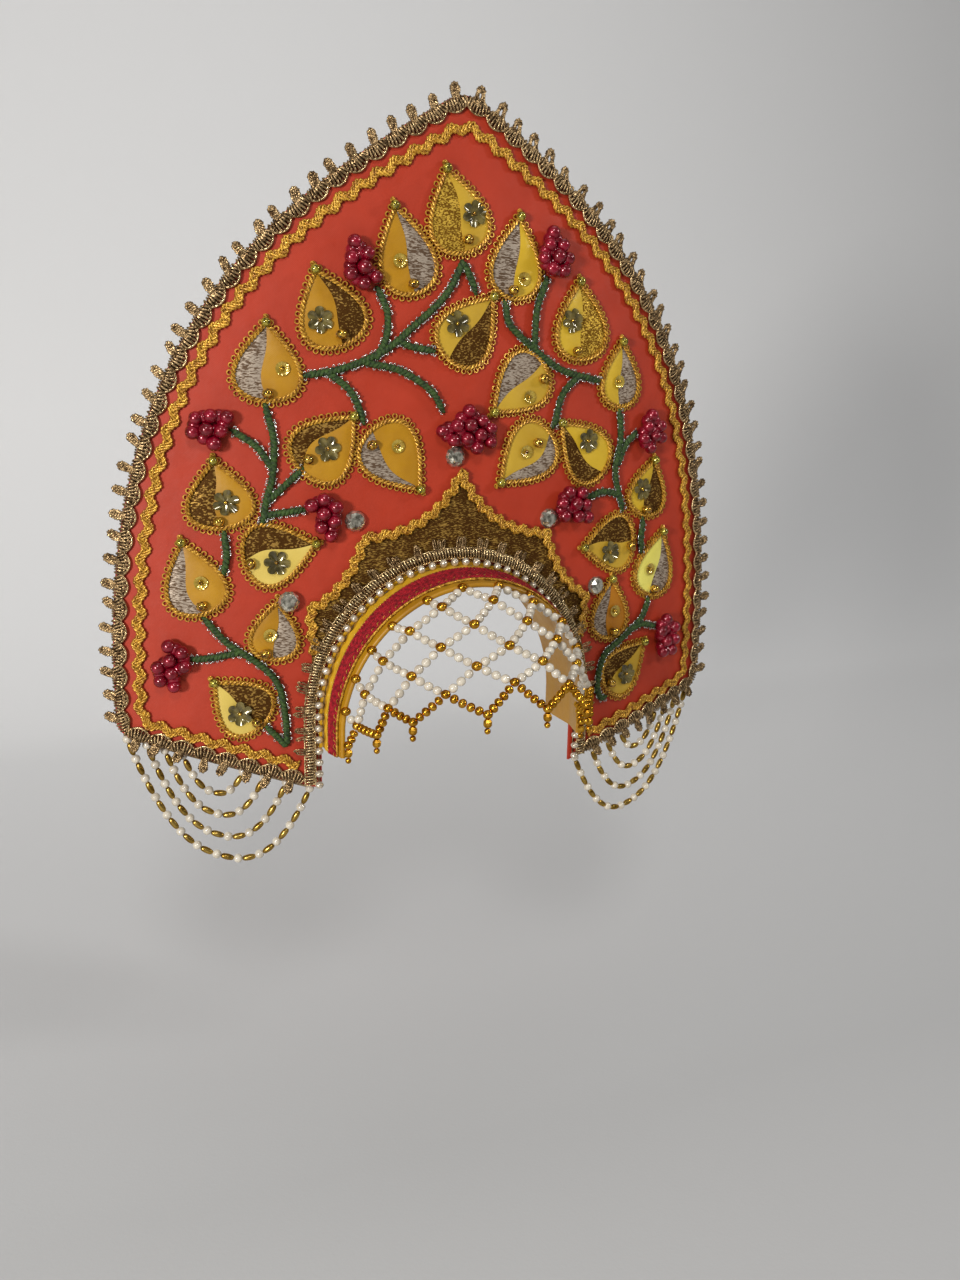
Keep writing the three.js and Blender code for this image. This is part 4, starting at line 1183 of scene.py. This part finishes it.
def leaf_gimp(piece, leaf):
    """The gold gimp round a leaf: a rope, with a row of small rings outside it."""
    rope = even(leaf_line(leaf, ROPE_INSET), 0.95)[:-1]
    twisted(piece, lifted(rope, 2.4), OUT, "gold_thread", pitch=5.2, lay=0.92, radius=0.7, sides=6,
            closed=True)
    # Painted shade: a dark tube under the rope, showing in the gaps between its plies
    tubes(piece, lifted(rope, 2.0), OUT, "gold_painted_shade", radius=0.85, sides=5, closed=True)
    line = leaf_line(leaf, -LOOP_OUT)
    count = round(run_of(line)[-1] / LOOP_PITCH)
    middles = even(line, count=count + 1)[:-1]
    angle = 2 * math.pi * np.arange(LOOP_POINTS) / LOOP_POINTS
    rings = middles[:, None] + LOOP_HALF * np.stack([np.cos(angle), np.sin(angle)], -1)[None]
    heights = 1.3 + CHANCE.uniform(*LOOP_STRAY, (count, 1))
    tubes(piece, lifted(rings, heights), OUT, "gold_thread", radius=0.46, sides=4, closed=True)


def sewn_sequin(piece, centre, out, radius, lift, finish, bead, bead_out):
    """A cupped sequin with a bead at its middle; radius and lift go round it and out from its middle."""
    theta = np.linspace(0, 2 * math.pi, len(lift))[:, None]
    flat = np.stack([radius * np.cos(theta), radius * np.sin(theta)], -1) + centre
    front = lifted(flat, out + lift)
    wall(piece, front, front - OUT * SEQUIN_THICK, finish)
    balls(piece, [(*centre, out + bead_out)], bead, "amber_glass", segments=10, rings=6)


def flower_sequin(piece, centre, out, turn):
    """A sequin with six petals."""
    theta = np.linspace(0, 2 * math.pi, 73)[:, None] - turn
    petal = 0.48 + 0.52 * np.abs(np.cos(FLOWER_PETALS / 2 * theta)) ** 0.36
    rings = np.linspace(0.12, 1, 6)[None, :]
    radius = FLOWER_HALF * rings * (1 + (petal - 1) * rings ** 1.5)
    lift = 0.2 + 1.3 * rings ** 2 - 0.35 * np.cos(FLOWER_PETALS * theta) * rings
    sewn_sequin(piece, centre, out, radius, lift, "sequin_smoke", bead=1.3, bead_out=1.0)


def round_sequin(piece, centre, out):
    """A faceted cup sequin."""
    theta = np.linspace(0, 2 * math.pi, 49)[:, None]
    rings, heights = np.array(CUP_SECTION).T[:, None]
    lift = heights + 0.14 * np.cos(CUP_FACETS * theta) * rings
    sewn_sequin(piece, centre, out, CUP_HALF * rings, lift, "sequin_gold", bead=1.2, bead_out=0.9)


def leaf_patch(leaf):
    piece = Piece(bent)
    leaf_cloth(piece, leaf)
    leaf_gimp(piece, leaf)
    centre = leaf_place(leaf, *leaf["sequin_at"])
    if leaf["cloth"] == "brocade":
        round_sequin(piece, centre, LEAF_DISH + 0.5)
    else:
        flower_sequin(piece, centre, LEAF_DISH + 0.5, CHANCE.uniform(0, 1))
    tip, axis, _, _ = leaf_axes(leaf)
    if all(math.dist(tip, place) > STONE for _, place, _ in STONES):
        tip_bead = [(*(tip + axis * TIP_BEAD_IN), TIP_BEAD_OUT)]
        balls(piece, tip_bead, TIP_BEAD, "olive_glass", segments=8, rings=6, smooth_shading=False)
    stray = CHANCE.uniform(-TAIL_STRAY, TAIL_STRAY)
    tail = tip - np.linspace(-2, GIMP_TAIL, 8)[:, None] * turned(axis, stray)
    twisted(piece, lifted(tail, 2.0), OUT, "gold_thread", pitch=3.0, lay=0.55, radius=0.6, sides=5)
    if leaf["bead_at"]:
        bead = [(*leaf_place(leaf, *leaf["bead_at"]), LEAF_DISH + LEAF_BEAD_OUT)]
        balls(piece, bead, LEAF_BEAD, "amber_glass", lifted(axis[None], 0), stretch=0.85, segments=8, rings=5,
              smooth_shading=False)
    piece.make("leaf_" + leaf["name"], crease=55)


def berries(node, places):
    """A bunch of beads sewn on in two layers, highest at the middle."""
    piece = Piece(bent)
    flat = np.array(places, float)
    away = np.linalg.norm(flat - flat.mean(0), axis=1)
    pile = PILE_EDGE + PILE_RISE * np.clip(1 - away / away.max(), 0, 1)
    under = []
    for number, one in enumerate(flat):
        for two in flat[number + 1:]:
            between = (one + two) / 2
            clear = all(np.linalg.norm(between - place) > BERRY for place in under)
            if np.linalg.norm(one - two) < 3 * BERRY and clear:
                under.append(between)
    top = lifted(flat, GAP + BERRY + pile)
    centres = np.concatenate([top, lifted(np.array(under), GAP + UNDER_SHARE * BERRY)])
    axes = CHANCE.normal(size=centres.shape)
    radius = BERRY * CHANCE.uniform(*BERRY_SIZES, len(centres))
    balls(piece, centres, radius, "berry_red", axes, stretch=0.98, segments=20, rings=12)
    piece.make(node)


def stone(node, place, seat):
    """A clear stone cut in three rings of facets round a table."""
    piece = Piece(bent)
    turn = 2 * math.pi * np.arange(STONE_FACETS) / STONE_FACETS
    points = []
    for share, height, half in STONE_CUTS:
        angle = turn + half * math.pi / STONE_FACETS
        ring = share * STONE / 2 * np.stack([np.cos(angle), np.sin(angle)], 1) + place
        points.append(lifted(ring, GAP + seat + height))
    number = np.arange(STONE_FACETS)
    after = (number + 1) % STONE_FACETS
    first, second, third, table = (ring * STONE_FACETS for ring in range(len(STONE_CUTS)))
    girdle = np.stack([first + number, first + after, second + after, second + number], 1)
    cut = [
        np.stack([second + number, second + after, third + number], 1),
        np.stack([third + number, second + after, third + after], 1),
        np.stack([third + number, third + after, table + after], 1),
        np.stack([table + number, third + number, table + after], 1),
    ]
    top = (table + number)[None]
    bottom = (first + number[::-1])[None]
    piece.add(np.concatenate(points), [girdle, *cut, top, bottom], "clear_stone", False)
    piece.make(node)


def vine_path(run, runs):
    """A run of cord, carried on and thinner where it goes under a leaf, and plain where it joins a run."""
    others = [smooth(other) for other in runs if other is not run]
    line = smooth(run)
    joined = []
    for end in (line[0], line[-1]):
        joined.append(any(np.linalg.norm(other - end, axis=1).min() < VINE_JOIN for other in others))
    path = longer(line, VINE_TUCK)
    path = even(path[joined[0]:len(path) - joined[1]], 0.85)
    whole = run_of(path)
    thin = np.ones(len(path))
    if not joined[0]:
        thin = np.minimum(thin, whole / VINE_TAPER)
    if not joined[1]:
        thin = np.minimum(thin, (whole[-1] - whole) / VINE_TAPER)
    return path, 0.5 + 0.5 * thin


def vine(node, runs):
    """Green twisted cord with small bright loops along both of its edges."""
    piece = Piece(bent)
    angle = np.linspace(-0.2, math.pi + 0.2, 6)
    for run in runs:
        line, thick = vine_path(run, runs)
        path = lifted(line, VINE_OUT * thick)
        twisted(piece, path, OUT, "green_thread", pitch=5.2, lay=thick, radius=VINE_PLY * thick, sides=6)
        away = outward(line)
        whole = run_of(line)
        count = max(2, round(whole[-1] / STITCH_PITCH))
        for side in (-1, 1):
            places = (np.arange(count) + CHANCE.uniform(0.1, 0.9, count)) * whole[-1] / count
            places = places[CHANCE.random(count) < STITCH_SHARE]
            base = sampled(places, whole, line)
            across = unit(sampled(places, whole, away))
            along = np.stack([across[:, 1], -across[:, 0]], 1)
            shift = STITCH_START + np.sin(angle) * CHANCE.uniform(*STITCH_REACH, len(places))[:, None]
            slide = STITCH_HALF * np.cos(angle)
            flat = base[:, None] + side * shift[..., None] * across[:, None] + slide[:, None] * along[:, None]
            stitches = lifted(flat, VINE_OUT + 0.5 * np.sin(angle))
            tubes(piece, stitches, OUT, "silver_wire", radius=0.31, sides=4)
    piece.make(node)


# Strings of beads

def net_points():
    """Every knot of the net by its column and row, and those that are seated on the band."""
    knots = {}
    for column, row, x, y, z in NET_KNOTS:
        for side in (1, -1):
            knots[side * column, row] = np.array([side * x, y, z], float)
    seats = {}
    rise = HEAD_RISE - RIM_TAPER_RISE + BAND_WALL / 2
    for column, row, x in NET_SEATS:
        angle = math.acos(x / (HEAD_HALF - RIM_TAPER_HALF + BAND_WALL / 2))
        y = -rim_reach(angle) - SEAT_FRONT
        z = SPRING_UP + rise * math.sin(angle)
        for side in (1, -1):
            seats[side * column, row] = np.array([side * x, y, z], float)
    return knots, seats


def sagging(start, end, share):
    """Points of a thread between two knots, which sags a little."""
    points = start + share[:, None] * (end - start)
    points[:, 2] -= STRING_SAG * np.sin(math.pi * share)
    return points


def string(piece, start, end, clear_start, clear_end, bead, step, finish):
    """Beads side by side between two knots, on a thread that sags a little."""
    whole = np.linalg.norm(end - start)
    room = whole - clear_start - clear_end
    count = max(1, round(room / step))
    share = (clear_start + (np.arange(count) + 0.5) * room / count) / whole
    stretch = min(1.05, 0.98 * room / count / (2 * bead))
    radius = bead * CHANCE.uniform(*NET_BEAD_SIZES, count)
    balls(piece, sagging(start, end, share), radius, finish, end - start, stretch, segments=14, rings=8)
    thread = sagging(start, end, np.linspace(0, 1, 7))
    tubes(piece, thread, (0.0, -1.0, 0.2), "thread", radius=THREAD, sides=5)


def pearl_net():
    piece = Piece()
    knots, seats = net_points()
    places = {**knots, **seats}
    for (column, row), start in places.items():
        for lean in (-1, 1):
            key = (column + lean, row + 1)
            if key not in knots or row + 1 > HEM_ROW:
                continue
            end_clear = HEM_BEAD if row + 1 == HEM_ROW else NET_KNOT
            string(piece, start, knots[key], NET_KNOT, end_clear, NET_PEARL, NET_PEARL * PEARL_STEP, "pearl")
    gold = [place for (_, row), place in knots.items() if row < HEM_ROW]
    for group in (gold, list(seats.values())):
        balls(piece, group, NET_KNOT, "gold_bead", OUT, stretch=0.9, segments=10, rings=7)
    piece.make("pearl_net")


def net_gold_hem():
    piece = Piece()
    knots, _ = net_points()
    line = [knots[column, HEM_ROW + column % 2] for column in range(-7, 8)]
    for start, end in zip(line, line[1:]):
        string(piece, start, end, HEM_BEAD, HEM_BEAD, HEM_BEAD, HEM_BEAD * HEM_STEP, "gold_bead")
    balls(piece, line, HEM_BEAD * 1.05, "gold_bead", OUT, stretch=0.9, segments=12, rings=8)
    valleys = np.array(line[::2])
    down = np.array([0.0, 0.0, -1.0])
    for drop, radius, *form in DROP_BEADS:
        balls(piece, valleys + down * drop, radius, "gold_bead", down, *form)
    for valley in valleys:
        thread = valley + np.linspace(0, DROP_LONG, 5)[:, None] * down
        tubes(piece, thread, (0.0, -1.0, 0.0), "thread", radius=THREAD, sides=5)
    piece.make("net_gold_hem")


def under_wing(side, along, below):
    """A line under a wing, a distance below the edge of its braid."""
    up = low_edge(along) - BRAID_HALF * LOW_STEEP - GAP - below
    return np.column_stack([side * along, up, np.full(len(along), SWAG_OUT)])


def swag(node, side):
    """Four strings of pearls and rice beads, hung one inside the other from the wing's lower edge."""
    piece = Piece(bent)
    share = np.linspace(0, 1, 120)
    for outer, inner, sag in SWAGS:
        hang = sag * (1 - np.abs(2 * share - 1) ** SWAG_FULLNESS)
        line = under_wing(side, outer + (inner - outer) * share, SWAG_BELOW + hang)
        run = run_of(line)
        count = round(run[-1] / SWAG_PITCH)
        pitch = run[-1] / count
        travel = unit(np.gradient(line, axis=0))
        for places, radius, finish, stretch, full in (
            (np.arange(count + 1) * pitch, SWAG_PEARL, "pearl", 0.97, 1.0),
            ((np.arange(count) + 0.5) * pitch, RICE_HALF, "gold_rice", RICE_STRETCH, RICE_FULL),
        ):
            axes = sampled(places, run, travel)
            balls(piece, sampled(places, run, line), radius, finish, axes, stretch, full=full)
        tubes(piece, even(line, 1.6), OUT, "thread", radius=THREAD, sides=5)
    hold = under_wing(side, np.linspace(SWAGS[0][0], SWAGS[0][1], 40), HOLD_BELOW)
    tubes(piece, hold, OUT, "bronze", radius=0.9, sides=6)
    piece.make(node)


def headdress():
    crest_board()
    edge_galloon()
    opening_galloon()
    ric_rac("edge_ric_rac", edge_line(-RIC_INSET_SIDE, -RIC_INSET_LOW, RIC_INNER_END), GAP, *EDGE_RIC)
    crown_panel()
    ric_rac("crown_ric_rac", panel_line(), PANEL_TOP + GAP, *CROWN_RIC)
    opening_beads()
    head_band()
    band_braid()
    for row in LEAVES:
        leaf_patch(dict(zip(LEAF_COLUMNS, row)))
    for node, places in BUNCHES.items():
        berries(node, places)
    for row in STONES:
        stone(*row)
    for node, runs in VINES.items():
        vine(node, runs)
    pearl_net()
    net_gold_hem()
    swag("swag_left", -1)
    swag("swag_right", 1)


# Studio

def studio():
    """A pale floor that curves up into a pale wall."""
    angle = np.linspace(0, math.pi / 2, 16)
    section = [(STUDIO_FRONT, FLOOR_UP)]
    section += [(WALL_BACK - COVE + COVE * math.sin(a), FLOOR_UP + COVE * (1 - math.cos(a))) for a in angle]
    section += [(WALL_BACK, WALL_TOP)]
    points = [(x, y, z) for y, z in section for x in (-STUDIO_HALF, STUDIO_HALF)]
    mesh = bpy.data.meshes.new("studio_floor")
    mesh.from_pydata(points, [], grid_faces(len(section), 2).tolist())
    mesh.polygons.foreach_set("use_smooth", np.ones(len(mesh.polygons), bool))
    mesh.materials.append(FINISHES["studio_paper"])
    floor = bpy.data.objects.new("studio_floor", mesh)
    bpy.context.scene.collection.objects.link(floor)


def area_light(name, place, aim, size, watts, color):
    light = bpy.data.lights.new(name, "AREA")
    light.shape = "DISK"
    light.size = size
    light.energy = watts
    light.color = color
    made = bpy.data.objects.new(name, light)
    back = unit(np.array(place, float) - np.array(aim, float))
    right = unit(np.cross((0.0, 0.0, 1.0), back))
    columns = np.stack([right, np.cross(back, right), back], 1)
    made.matrix_world = Matrix.Translation(place) @ Matrix(columns.tolist()).to_4x4()
    bpy.context.scene.collection.objects.link(made)


def lights():
    for row in LIGHTS:
        area_light(*row)
    world = bpy.data.worlds.new("studio_air")
    world.use_nodes = True
    air = world.node_tree.nodes["Background"]
    air.inputs["Color"].default_value = (1, 1, 1, 1)
    air.inputs["Strength"].default_value = AIR_STRENGTH
    bpy.context.scene.world = world
    bpy.context.scene.view_settings.view_transform = "Standard"


def camera():
    """The photograph's viewpoint."""
    yaw, pitch, roll = np.radians([YAW, PITCH, ROLL])
    ahead = np.array([-np.sin(yaw) * np.cos(pitch), np.cos(yaw) * np.cos(pitch), np.sin(pitch)])
    level = np.array([np.cos(yaw), np.sin(yaw), 0])
    upright = np.cross(level, ahead)
    right = np.cos(roll) * level + np.sin(roll) * upright
    top = -np.sin(roll) * level + np.cos(roll) * upright
    lens = bpy.data.cameras.new("camera")
    lens.sensor_width = SENSOR
    lens.lens = SENSOR * FOCUS / PHOTO_TALL
    lens.clip_start = 0.01
    made = bpy.data.objects.new("camera", lens)
    columns = np.stack([right, top, -ahead], 1)
    made.matrix_world = Matrix.Translation(CAMERA_PLACE) @ Matrix(columns.tolist()).to_4x4()
    bpy.context.scene.collection.objects.link(made)
    bpy.context.scene.camera = made


camera()
make_finishes()
headdress()
studio()
lights()
